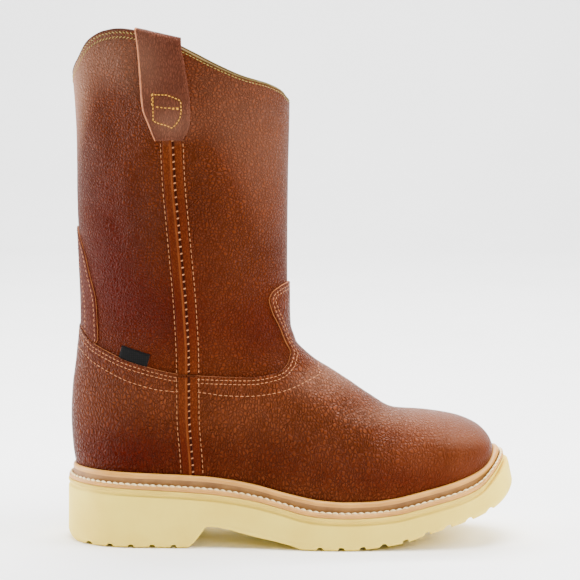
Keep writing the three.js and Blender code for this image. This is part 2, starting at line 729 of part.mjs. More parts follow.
function makeLabel() {
  const { x, z, long, high, tilt } = LABEL;
  const corners = [[-long / 2, -high], [long / 2, -high], [long / 2, high / 2], [-long / 2, high / 2]];
  const outline = corners.map(([u, v]) => [
    x + u * Math.cos(tilt) - v * Math.sin(tilt),
    z + u * Math.sin(tilt) + v * Math.cos(tilt),
  ]);
  const band = shell(FOOT_ROWS.indexOf(13), LEVEL_MESH_ROW, GAP, GAP + LABEL_THICK);
  return band.intersect(prism(outline, 'y', ...sideSpan(-1))).subtract(underVampLine(CUT_CLEAR));
}

// Sole pieces

// Stations of the feather line from the toe tip down the outer side to the heel back, and
// back up the inner side, each with its outward direction in plan.
const stationX = steps(STATIONS).map((step) => {
  const swing = mix(step, (1 - Math.cos(Math.PI * step)) / 2, 0.8);
  return mix(TOE_X, HEEL_X, swing);
});

const stations = [];
for (const side of [-1, 1]) {
  const list = stationX.map((x) => new THREE.Vector2(x, side * featherHalf(x, side)));
  if (side < 0) stations.push(...list);
  else stations.push(...list.slice(1, -1).reverse());
}
const outward = stations.map((_, i) => {
  const count = stations.length;
  const way = stations[(i + 1) % count].clone().sub(stations[(i + count - 1) % count]);
  if (i === 0) return new THREE.Vector2(1, 0);
  if (i === STATIONS) return new THREE.Vector2(-1, 0);
  return new THREE.Vector2(-way.y, way.x).normalize();
});

// One level of a sole piece. out and height may depend on the station's x.
function level(out, height) {
  return stations.map((station, i) => {
    const reach = typeof out === 'function' ? out(station.x) : out;
    const place = station.clone().addScaledVector(outward[i], reach);
    return new THREE.Vector3(place.x, place.y, height(place.x, station.x));
  });
}

// Levels joined into one solid. A plate is closed by a strip top and bottom, a ring joins
// its last level to its first.
function stacked(levels, isRing) {
  const points = [];
  const faces = [];
  const loops = isRing ? [...levels, levels[0]] : levels;
  net(loops.map((loop) => [...loop, loop[0]]), points, faces);
  if (!isRing) {
    const pair = (loop) => {
      const outer = loop.slice(0, STATIONS + 1);
      const inner = [loop[0], ...loop.slice(STATIONS).reverse()];
      return [outer, inner];
    };
    net(pair(levels[0]).reverse(), points, faces);
    net(pair(levels[levels.length - 1]), points, faces);
  }
  return solidOf(points, faces);
}

function makeWelt() {
  // The bead is slimmer where the welt's margin is narrow.
  const bead = (x) => Math.min(1, (weltMargin(x) - formFace - 0.6) / BEAD_WIDE);
  const over = (rise) => (_, x) => featherZ(x) + rise;
  const edge = (rise) => (x) => weltZ(x) + rise;
  const ring = stacked([
    level(-WELT_UNDER, edge(0)),
    level(-WELT_UNDER, over(1.5)),
    level(1.2, over(3.2)),
    level((x) => formFace + 0.5 * bead(x), over(BEAD_HIGH - 0.3)),
    level((x) => formFace + 2.0 * bead(x), over(BEAD_HIGH)),
    level((x) => formFace + 3.7 * bead(x), over(BEAD_HIGH - 1.2)),
    level((x) => formFace + 4.5 * bead(x), over(BEAD_HIGH - 3.0)),
    level((x) => formFace + BEAD_WIDE * bead(x), over(0.3)),
    level((x) => weltMargin(x) - 0.5, edge(WELT_EDGE)),
    level(weltMargin, edge(WELT_EDGE - 0.7)),
    level(weltMargin, edge(0.3)),
    level((x) => weltMargin(x) - 0.4, edge(0)),
  ], true);
  return ring.subtract(footBlock);
}

function makeMidsole() {
  const top = (x) => weltZ(x) - GAP;
  const layer = stacked([
    level((x) => weltMargin(x) - 0.3, (x) => top(x) - LIP_THICK),
    level((x) => weltMargin(x) + 0.4, (x) => top(x) - LIP_THICK / 2),
    level((x) => weltMargin(x) - 0.2, top),
    level(-WELT_UNDER - GAP, top),
    level(-WELT_UNDER - GAP, (x) => featherZ(x) + 1),
  ], false);
  return layer.subtract(footBlock);
}

// A board as wide as the upper, cut to its inside.
function makeInsole() {
  const board = stacked([
    level(-1, (x) => featherZ(x) - 2),
    level(-1, (x) => featherZ(x) + INSOLE_THICK),
  ], false);
  return board.intersect(footForm(FOOT_ROWS.indexOf(15), -WALL - GAP));
}

function makeOutsole() {
  const top = (x) => weltZ(x) - LIP_THICK - 2 * GAP;
  const out = (share, less) => (x) => weltMargin(x) + soleFlare(x) * share - less;
  const block = stacked([
    level(out(0, 1.2), top),
    level(out(0, 1.2), (x) => top(x) - 2.2),
    level(out(0.5, 0), (x) => top(x) - 3.0),
    level(out(0.85, 0), (x) => mix(top(x), bottomZ(x), 0.45)),
    level(out(1, 0), (x) => bottomZ(x) + 3.2),
    level(out(1, 0.9), (x) => bottomZ(x) + 0.9),
    level(out(1, 2.4), bottomZ),
  ], false);
  return treadGrooves().reduce((sole, groove) => sole.subtract(groove), block);
}

// Cross grooves of the heel and of the forefoot, each square to the bottom where it lies.
function treadGrooves() {
  const places = [HEEL_GROOVES, FORE_GROOVES].flatMap(({ first, count }) =>
    Array.from({ length: count }, (_, i) => first + i * GROOVE_PITCH));
  return places.map((x) => {
    const [before, after] = [x - GROOVE_WIDE / 2, x + GROOVE_WIDE / 2];
    const slope = Math.atan2(bottomZ(after) - bottomZ(before), GROOVE_WIDE);
    const section = [[-GROOVE_WIDE / 2 - 1, -2], [GROOVE_WIDE / 2 + 1, -2],
      [GROOVE_WIDE / 2 - 0.8, GROOVE_DEEP], [-GROOVE_WIDE / 2 + 0.8, GROOVE_DEEP]];
    const outline = section.map(([u, v]) => [
      x + u * Math.cos(slope) - v * Math.sin(slope),
      bottomZ(x) + u * Math.sin(slope) + v * Math.cos(slope),
    ]);
    return prism(outline, 'y', -CUT_REACH, CUT_REACH);
  });
}

// The object

const LEATHER = { color: 0x7a3a1e, roughness: 0.5, metalness: 0 };
const SHAFT_LEATHER = { color: 0x6b2a17, roughness: 0.52, metalness: 0 };
const STRAP_LEATHER = { color: 0x764736, roughness: 0.55, metalness: 0 };
const SOLE_RUBBER = { color: 0xddd0a6, roughness: 0.8, metalness: 0 };
const WELT_LEATHER = { color: 0xc9a06e, roughness: 0.6, metalness: 0 };
const BLACK_CLOTH = { color: 0x1c1a1a, roughness: 0.9, metalness: 0 };
const INSOLE_LEATHER = { color: 0xb89468, roughness: 0.8, metalness: 0 };

const group = new THREE.Group();

function addPiece(name, solid, finish) {
  const mesh = solid.getMesh();
  const geometry = new THREE.BufferGeometry();
  geometry.setAttribute('position', new THREE.BufferAttribute(mesh.vertProperties, 3));
  geometry.setIndex(new THREE.BufferAttribute(mesh.triVerts, 1));
  geometry.computeVertexNormals();
  const piece = new THREE.Mesh(geometry, new THREE.MeshStandardMaterial(finish));
  piece.name = name;
  group.add(piece);
}

const strapCuff = makeStrapCuff();
const footBlock = footForm(FOOT_ROWS.indexOf(16), formFace, GAP);

addPiece('upper', makeUpper(), SHAFT_LEATHER);
addPiece('vamp', makeVamp(), LEATHER);
addPiece('back_stay', makeBackStay(), SHAFT_LEATHER);
addPiece('seam_shaft_outer', makeShaftSeam(-1), SHAFT_LEATHER);
addPiece('seam_shaft_inner', makeShaftSeam(1), SHAFT_LEATHER);
addPiece('seam_vamp_outer', makeVampSeam(-1), LEATHER);
addPiece('seam_vamp_inner', makeVampSeam(1), LEATHER);
addPiece('pull_strap_outer', makePullStrap(-1), STRAP_LEATHER);
addPiece('pull_strap_inner', makePullStrap(1), STRAP_LEATHER);
addPiece('label', makeLabel(), BLACK_CLOTH);
addPiece('welt', makeWelt(), WELT_LEATHER);
addPiece('midsole', makeMidsole(), SOLE_RUBBER);
addPiece('insole', makeInsole(), INSOLE_LEATHER);
addPiece('outsole', makeOutsole(), SOLE_RUBBER);

export default group;
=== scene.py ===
"""A pull-on roper work boot, right foot: the visual model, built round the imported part."""

import math

import bpy
import numpy as np
from bpy.props import FloatProperty, FloatVectorProperty, PointerProperty
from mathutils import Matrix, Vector
from mathutils.bvhtree import BVHTree


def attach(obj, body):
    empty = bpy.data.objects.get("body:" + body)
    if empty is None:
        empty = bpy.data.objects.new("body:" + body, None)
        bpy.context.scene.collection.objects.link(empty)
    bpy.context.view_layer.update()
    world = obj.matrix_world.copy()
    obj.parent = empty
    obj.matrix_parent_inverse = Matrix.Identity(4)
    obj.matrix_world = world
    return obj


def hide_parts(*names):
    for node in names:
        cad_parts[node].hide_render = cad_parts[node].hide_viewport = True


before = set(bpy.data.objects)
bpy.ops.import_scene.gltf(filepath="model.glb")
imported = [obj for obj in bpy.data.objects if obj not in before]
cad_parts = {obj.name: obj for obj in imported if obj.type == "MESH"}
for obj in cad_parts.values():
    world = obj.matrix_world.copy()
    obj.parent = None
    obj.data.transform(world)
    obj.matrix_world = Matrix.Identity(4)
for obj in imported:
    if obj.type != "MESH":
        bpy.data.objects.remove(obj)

bl_info = {
    "name": "Roper Work Boot",
    "version": (1, 0, 0),
    "blender": (4, 5, 0),
    "location": "View3D > Sidebar > Boot",
    "description": "Builds a pull-on roper work boot round its packed frame",
    "category": "Add Mesh",
}

# Driving sizes, in millimetres, the same as in the part's source
MM = 0.001
GAP = 0.3
WALL = 2.0
VAMP_THICK = 1.6
TRIM_THICK = 0.9
LABEL_THICK = 0.7
STRAP_THICK = 2.2
TOE_X = 137.9
HEEL_X = -145.7
WELT_EDGE = 2.7
BEAD_HIGH = 4.5
BEAD_WIDE = 4.7
LIP_THICK = 2.4
INSOLE_THICK = 3.0
GROOVE_DEEP = 2.3
GROOVE_PITCH = 14.5
VAMP_FACE = GAP + VAMP_THICK
FORM_FACE = VAMP_FACE + GAP

# Tread grooves: the first one and how many, under the heel and under the ball
GROOVE_GROUPS = ((-137, 5), (20, 9))
GROOVES = [first + i * GROOVE_PITCH for first, count in GROOVE_GROUPS for i in range(count)]
# Half width of a groove at its mouth and at its bottom, and where its mesh has stations
GROOVE_MOUTH, GROOVE_FLOOR = 2.6, 1.3
GROOVE_STATIONS = (-2.9, -2.2, -1.8, -1.2, 0, 1.2, 1.8, 2.2, 2.9)

# Rounding of the collar's rim, the bead of the welt, and how far apart the seams' cross threads are
RIM_ROUND, RIM_REACH = 0.8, 1.4
BEAD_RADIUS = 2.35
LADDER_PITCH = 4.7

# The tab lies ahead of one x and the back stay behind the other; the low row ends at the third
TAB_FROM, STAY_TO, LOW_ROW_TO = -40, -105, 20
# A distance that stands for far outside a piece
FAR = 99
# Collar: painted dark behind this x, and where its back and front rows of stitches stop
PAINTED_TO, BACK_ROWS_TO, FRONT_ROW_FROM = -72, -86, -84

# Mesh fineness
COLUMNS = 176
T_STEP = 0.125
SHAFT_ROWS = 74
PROFILE_STEPS = 40
STATIONS = 200
STRAND_RINGS = 6
STRAND_SIDES = 6


def table(names, rows):
    """A table of named columns."""
    return dict(zip(names.split(), np.array(rows, float).T))


# Sections of the upper's outer face, from the toe tip to level ones up the shaft
SECTIONS = table("backX backZ frontX frontZ outer inner widest low high bow", [
    [137.9, 59, 137.9, 59, 0, 0, 0.4, 2.2, 2.2, 1],
    [136.6, 57, 138.0, 63.8, 13.8, 14, 0.4, 2.2, 2.2, 1],
    [131.5, 50.8, 136.6, 68.0, 25, 25.6, 0.4, 2.2, 2.3, 1],
    [121, 44.2, 130.3, 75.2, 34, 35, 0.38, 2.2, 2.3, 1],
    [104, 38.3, 115, 82.3, 40, 41.4, 0.36, 2.2, 2.2, 1],
    [84, 32.8, 95, 86.0, 42.4, 43.8, 0.34, 2.2, 2.1, 1],
    [62, 28.5, 73, 88.3, 44.4, 43.6, 0.33, 2.2, 2.0, 1],
    [38, 27.4, 52, 98.9, 44.0, 40.4, 0.35, 2.2, 1.95, 1.05],
    [12, 30.0, 32, 111.4, 41.6, 36.8, 0.38, 2.2, 1.95, 1.12],
    [-18, 37.0, 15, 123.6, 39.0, 35.6, 0.44, 2.2, 2.0, 1.2],
    [-50, 42.6, 3.2, 136.0, 38.4, 36.8, 0.52, 2.2, 2.0, 1.3],
    [-83, 45.2, -1.2, 147.5, 39.0, 38.4, 0.58, 2.2, 2.0, 1.4],
    [-113, 46.1, -1.7, 157.5, 40.2, 39.8, 0.62, 2.1, 2.0, 1.5],
    [-135, 47.0, -1.8, 166.5, 41.0, 40.6, 0.64, 2.1, 2.0, 1.55],
    [-145.7, 47.8, -1.8, 175, 41.6, 41.2, 0.65, 2.1, 2.0, 1.6],
    [-149.4, 84, -1.8, 191, 44.0, 43.6, 0.64, 2.1, 2.0, 1.5],
    [-147, 118, -1.7, 210, 45.4, 45.0, 0.58, 2.1, 2.0, 1.25],
    [-143.2, 155, -1.5, 232, 46.4, 46.0, 0.52, 2.0, 2.0, 1.05],
    [-144.2, 195, -1.2, 254, 47.0, 46.8, 0.5, 2.0, 2.0, 1],
    [-145.8, 240, -0.6, 278, 47.6, 47.6, 0.5, 2.0, 2.0, 1],
    [-145.8, 280, -0.2, 300, 48.0, 48.0, 0.5, 2.0, 2.0, 1],
    [-148.4, 325, -0.6, 328, 48.4, 48.4, 0.5, 2.0, 2.0, 1],
    [-149.6, 362, -1.0, 362, 48.8, 48.8, 0.5, 2.0, 2.0, 1],
])
HEEL_ROW, LEVEL_ROW, LAST_ROW = 14, 17, 22
HEEL_TAKES_OVER = (8.5, 12)

# The heel and the back of the shaft, by height
HEEL = table("z back outer inner depth", [
    [47.8, -145.7, 32.8, 32.2, 40.7],
    [64, -148.3, 34.2, 33.8, 46],
    [84, -149.4, 36.2, 35.8, 54],
    [104, -148.5, 38.8, 38.4, 62],
    [124, -145.9, 41.6, 41.2, 68],
    [155, -143.2, 45.0, 44.6, 71],
    [195, -144.2, 47.0, 46.8, 71.5],
    [240, -145.9, 47.6, 47.6, 72.6],
    [280, -145.8, 48.0, 48.0, 72.8],
    [325, -148.4, 48.4, 48.4, 73.9],
    [362, -149.6, 48.8, 48.8, 74.3],
])

# Plan of the feather line, where upper and welt meet
PLAN = table("x outer inner", [
    [-150, 32.5, 32], [-115, 32.8, 32.2], [-88, 32.8, 31.2], [-58, 32.6, 28.6],
    [-28, 34.2, 27.4], [0, 38.2, 29.4], [22, 41.2, 33.8], [38, 41.8, 38],
    [54, 41.5, 41.2], [66, 40.6, 41.8], [84, 39.9, 41.6], [104, 39.5, 41.2],
    [138, 39.3, 40.6],
])
TOE_ROUND = (78, TOE_X, 2.5)
HEEL_ROUND = (HEEL_X + 40.7, HEEL_X, 2.1)

# Heights along the boot
HEIGHTS = table("x feather welt", [
    [-156, 48.3, 42.7], [-107, 46.1, 40.5], [-60, 43.7, 37.8], [-40, 41.4, 35.6],
    [-22, 38.0, 32.5], [-4, 33.5, 28.0], [8, 30.8, 24.8], [21, 28.5, 22.9],
    [38, 27.4, 22.2], [54, 27.8, 22.7], [71, 29.9, 24.4], [88, 34.0, 28.5],
    [102, 37.7, 32.1], [114, 41.4, 35.2], [126, 46.6, 39.4], [132, 51.0, 43.0],
    [138, 59.0, 48.6], [147, 69.0, 58.0], [157, 78.0, 66.0],
])
BOTTOM = table("x z", [
    [-157, 5.5], [-152, 2.2], [-146, 0], [-70, 0], [-66, 2.8], [-60, 10.2],
    [-56.5, 14.6], [-51, 14.4], [-44, 13.4], [-33, 10.5], [-22, 7.8], [-10, 5.4],
    [0, 3.0], [10, 0], [42, 0], [58, 1.8], [70, 3.5], [80, 5.8], [88, 8.8],
    [101, 13.0], [114, 16.8], [126, 20.4], [137, 24.8], [144, 28.6], [150, 33.2],
    [157, 40.5],
])
MARGINS = table("x welt flare", [
    [-156, 7.5, 0.8], [-146, 7.5, 0.8], [-120, 8.8, 0.9], [-70, 10.8, 0.9],
    [-20, 11.3, 0.9], [100, 11.3, 0.9], [122, 11.0, 2.2], [138, 9.6, 6.4],
    [157, 9.6, 6.4],
])

# Collar line by share of the way from the back to the front
COLLAR = table("share z", [
    [-0.1, 329], [0, 319.5], [0.1, 329], [0.172, 342], [0.242, 348], [0.302, 349.6],
    [0.36, 348.4], [0.444, 343], [0.536, 334.4], [0.62, 326], [0.72, 317.8],
    [0.834, 312.2], [0.9, 308.0], [0.95, 303.2], [1, 301.4], [1.05, 303.2],
])

# Edges of the overlays
VAMP_LINE = table("x z", [
    [-170, 151], [-146, 149.8], [-134, 138.6], [-122, 132.6], [-110.5, 127.8],
    [-95, 123.4], [-76.4, 119.2], [-62, 117.9], [-43, 116.7], [-26, 115.9],
    [-15, 116.9], [-6, 119.2], [-1.5, 123.6],
])
THROAT = [(0.6, 131), (0.6, 139), (180, 139)]
TAB = table("z half", [
    [120, 21], [126, 17.6], [133, 16.2], [141, 16], [150, 18.6], [158, 21.4],
    [165, 22.2], [171, 20.4], [175.2, 14.5], [177.4, 6], [177.8, 0],
])
STAY = table("z half", [
    [130, 28], [150, 26.6], [168, 25], [184, 22.8], [197, 19.6], [206, 14.6],
    [212, 8.6], [215.4, 3], [216, 0],
])
SEAM = table("z x", [
    [40, -65.4], [52, -65.6], [92, -67.9], [126, -67.9], [159, -69.1], [217, -73.7],
    [248, -76.3], [290, -78],
])
SEAM_BEHIND, SEAM_AHEAD, SEAM_TOP = 7.4, 5.6, 275.6

# Pull strap in side view: its edges by height, straight above the cut corners
STRAP_EDGES = table("z back front", [
    [276, -89.8, -70.9], [286, -93.7, -66.4], [298, -97.8, -65.9], [319, -99.6, -67.6],
    [334, -100.4, -69.2], [356, -102.8, -76.5],
])
# The strap's lower end, its fold at the back and front edge, and the crease along its top
STRAP_FOOT = 276.0
STRAP_FOLD = (350.3, 343.4)
STRAP_CREST = (350.6, 343.8)
# The inner strap is set back a little at its top
STRAP_SET_BACK = 4.8
# The strap's box stitch in side view, as the x and z of each bend
STRAP_STITCHES = (
    [(-90.6, 307.5), (-90.6, 297.6), (-90.5, 289), (-87.2, 287.4), (-81.6, 286), (-78.1, 284.4),
     (-75.6, 286.4), (-72.8, 290.5), (-71.9, 295.4), (-72.2, 302)],
    [(-90.0, 306.3), (-81.3, 306.1), (-75.5, 303.9), (-72.2, 302.3)],
    [(-89, 298.3), (-81.3, 297.5), (-73.1, 297.5)],
    [(-91.3, 307.5), (-91.3, 298.5)],
    [(-78.5, 296.9), (-72.8, 296.9)],
)
LABEL = {"x": -104.65, "z": 131.1, "long": 20, "high": 8.2, "tilt": -0.284}

# A lower row of stitches over the foot piece's reinforcement
LOW_ROW = table("x z", [
    [-160, 139], [-142.4, 132.8], [-133.8, 126.0], [-121.8, 119.5], [-110.5, 114.3],
    [-98.8, 110.8], [-87.6, 108.2], [-76.4, 107.3], [-61.9, 106.8], [-42.9, 104.2],
    [-26.2, 103.4], [-9.4, 104.9], [1.7, 107.5], [14, 112], [30, 119], [60, 130],
])

# Creases given in side view: two ends, how wide, how deep (a ridge is negative), and
# how far the middle bows up off the straight line. side 0 is both sides.
CREASES = table("side x0 z0 x1 z1 wide deep bow", [
    [0, -6, 128, 30, 104, 5.0, 1.4, -3],
    [0, 2, 138, 24, 122, 3.5, 1.1, 0],
    [0, 22, 122, 52, 78, 9, -1.0, 4],
    [0, 40, 100, 74, 52, 10, 0.8, 5],
    [0, 60, 92, 84, 60, 8, 0.6, 3],
    [-1, -146, 234, -112, 214, 7, 1.6, 4],
    [-1, -140, 250, -104, 246, 12, -1.1, 4],
    [1, -146, 230, -108, 222, 7, 1.4, 2],
    [-1, -116, 332, -92, 276, 8, -1.9, 4],
    [-1, -128, 318, -116, 260, 9, 1.4, 3],
    [1, -118, 330, -92, 270, 9, -1.6, 4],
    [-1, -2, 292, -44, 262, 9, 1.8, -5],
    [-1, -6, 276, -52, 240, 12, -1.1, -4],
    [1, -2, 290, -46, 254, 9, 1.6, -5],
    [-1, -30, 200, -4, 168, 10, 1.3, -3],
    [-1, -46, 160, -10, 132, 9, 1.1, -4],
    [1, -40, 186, -6, 150, 10, 1.3, -3],
    [-1, -140, 176, -92, 150, 11, 1.1, -4],
    [1, -138, 180, -88, 152, 11, 1.0, -4],
    [-1, -150, 262, -92, 226, 17, 1.5, -4],
    [-1, -140, 300, -120, 262, 10, -0.9, 0],
    [-1, -60, 250, -8, 214, 16, -1.0, 4],
])

# Painted shade and painted highlights on the hide, listed spot by spot: below 0 a dark painted
# shade, above 0 a pale painted highlight and sheen, the same on both sides
PAINTED_LIGHT_SPOTS = table("x z reach_x reach_z tone", [
    [-122, 200, 26, 62, -0.85],
    [-88, 158, 34, 34, -0.7],
    [-18, 150, 30, 26, -0.55],
    [-62, 220, 24, 50, -0.25],
    [-156, 304, 15, 40, 0.95],
    [-154, 240, 8, 40, 0.7],
    [-122, 330, 26, 22, 0.16],
    [-8, 272, 14, 46, 0.03],
    [-34, 276, 40, 56, 0.1],
    [-112, 62, 44, 26, -0.9],
    [-20, 60, 70, 20, -0.4],
    [78, 46, 60, 14, -0.55],
    [30, 114, 34, 11, 0.2],
    [78, 88, 40, 8, 0.18],
    [116, 74, 28, 10, 0.1],
    [-80, 286, 16, 12, 0.16],
    [-96, 322, 12, 26, 0.08],
])


def curve(data, key, value):
    """Monotone cubic through one column of a table, over another or over the row number."""
    ys = data[value]
    xs = data[key] if key else np.arange(len(ys), dtype=float)
    h = np.diff(xs)
    slope = np.diff(ys) / h
    wa, wb = 2 * h[1:] + h[:-1], h[1:] + 2 * h[:-1]
    turns = slope[:-1] * slope[1:] <= 0
    a, b = np.where(turns, 1, slope[:-1]), np.where(turns, 1, slope[1:])
    inner = np.where(turns, 0, (wa + wb) / (wa / a + wb / b))
    m = np.concatenate([slope[:1], inner, slope[-1:]])

    def at(x):
        x = np.clip(x, xs[0], xs[-1])
        i = np.clip(np.searchsorted(xs, x) - 1, 0, len(xs) - 2)
        u = (x - xs[i]) / h[i]
        rise = ys[i] * (1 + 2 * u) * (1 - u) ** 2 + ys[i + 1] * u * u * (3 - 2 * u)
        return rise + m[i] * h[i] * u * (1 - u) ** 2 + m[i + 1] * h[i] * u * u * (u - 1)

    return at


def mix(a, b, share):
    """A value between two, by the share of the way from the first."""
    return a + (b - a) * share


def smooth(low, high, x):
    """Rises softly from 0 at low to 1 at high."""
    u = np.clip((x - low) / (high - low), 0, 1)
    return u * u * (3 - 2 * u)


def unit(v):
    """Directions brought to length 1."""
    return v / np.maximum(np.linalg.norm(v, axis=-1, keepdims=True), 1e-9)


section_curves = {name: curve(SECTIONS, None, name) for name in SECTIONS}
heel_curves = {name: curve(HEEL, "z", name) for name in HEEL if name != "z"}
plan_half = {-1: curve(PLAN, "x", "outer"), 1: curve(PLAN, "x", "inner")}
feather_z = curve(HEIGHTS, "x", "feather")
welt_z = curve(HEIGHTS, "x", "welt")
bottom_z = curve(BOTTOM, "x", "z")
welt_margin = curve(MARGINS, "x", "welt")
sole_flare = curve(MARGINS, "x", "flare")
collar_z = curve(COLLAR, "share", "z")
seam_x = curve(SEAM, "z", "x")


def round_end(x, end):
    """Share of the full width where the plan rounds off towards the toe or heel."""
    start, stop, power = end
    share = np.clip((x - start) / (stop - start), 0, 1)
    return (1 - share ** power) ** (1 / power)


def feather_half(x, side):
    """Half width of the feather line on one side."""
    return plan_half[side](x) * round_end(x, TOE_ROUND) * round_end(x, HEEL_ROUND)


def heel_half(x, z, side):
    """Half width of the heel and the back of the shaft at one place in side view."""
    full = heel_curves["outer" if side < 0 else "inner"](z)
    share = np.clip((x - heel_curves["back"](z)) / heel_curves["depth"](z), 0, 1)
    power = HEEL_ROUND[2]
    return full * (1 - (1 - share) ** power) ** (1 / power)


def half_section(t, side):
    """Places along one half of a section, from its lower or back end to its upper end."""
    s = {name: float(at(t)) for name, at in section_curves.items()}
    if t <= HEEL_ROW:
        s["backZ"] = float(feather_z(s["backX"]))
    else:
        s["backX"] = float(heel_curves["back"](s["backZ"]))
    if t == 0:
        s["frontZ"] = s["backZ"]

    def place(up):
        return mix(s["backX"], s["frontX"], up ** s["bow"]), mix(s["backZ"], s["frontZ"], up)

    takes = float(smooth(*HEEL_TAKES_OVER, t))
    foot = float(feather_half(s["backX"], side)) if t < HEEL_ROW else 0.0
    own = max(s["outer" if side < 0 else "inner"], foot * 1.02)
    half = mix(own, float(heel_half(*place(s["widest"]), side)), takes)
    angle = math.asin(min(1, (foot / half) ** (s["low"] / 2))) if half > 0 else 0
    foot_rest = math.cos(angle) ** (2 / s["low"])
    foot_gap = foot - float(heel_half(*place(0.0), side))
    turn = np.linspace(angle, math.pi / 2, PROFILE_STEPS)
    rest = np.clip(np.maximum(0, np.cos(turn)) ** (2 / s["low"]) / foot_rest, 0, 1)
    up = s["widest"] * (1 - rest)
    heel = heel_half(*place(up), side) + foot_gap * rest ** 4
    low = mix(half * np.sin(turn) ** (2 / s["low"]), heel, takes)
    low[0], up[0] = foot, 0
    turn = np.linspace(0, math.pi / 2, PROFILE_STEPS)[1:]
    high_up = s["widest"] + (1 - s["widest"]) * np.sin(turn) ** (2 / s["high"])
    high = half * np.maximum(0, np.cos(turn)) ** (2 / s["high"])
    high[-1], high_up[-1] = 0, 1
    x, z = place(np.concatenate([up, high_up]))
    return np.stack([x, side * np.concatenate([low, high]), z], 1)


def section_row(t):
    """One section, evenly spaced along each half, from the outer to the inner feather."""
    halves = []
    for side in (-1, 1):
        places = half_section(t, side)
        steps = np.linalg.norm(np.diff(places, axis=0), axis=1)
        run = np.concatenate([[0], np.cumsum(steps)])
        along = np.linspace(0, run[-1], COLUMNS // 2 + 1)
        halves.append(np.stack([np.interp(along, run, places[:, k]) for k in range(3)], 1))
    return np.concatenate([halves[0], halves[1][::-1][1:]])


def crease_depth(points):
    """How far the hand-set creases sink each place."""
    depth = np.zeros(len(points))
    for side, x0, z0, x1, z1, wide, deep, bow in zip(*CREASES.values()):
        along = np.array([x1 - x0, z1 - z0])
        length = np.linalg.norm(along)
        along /= length
        across = np.array([-along[1], along[0]])
        rel = points[:, [0, 2]] - (x0, z0)
        u = rel @ along / length
        v = rel @ across - bow * 4 * u * (1 - u)
        shape = deep * np.exp(-(v / wide) ** 2) * smooth(-0.15, 0.2, u) * smooth(1.15, 0.8, u)
        if side:
            shape = shape * smooth(0, 10, side * points[:, 1])
        depth += shape
    return depth


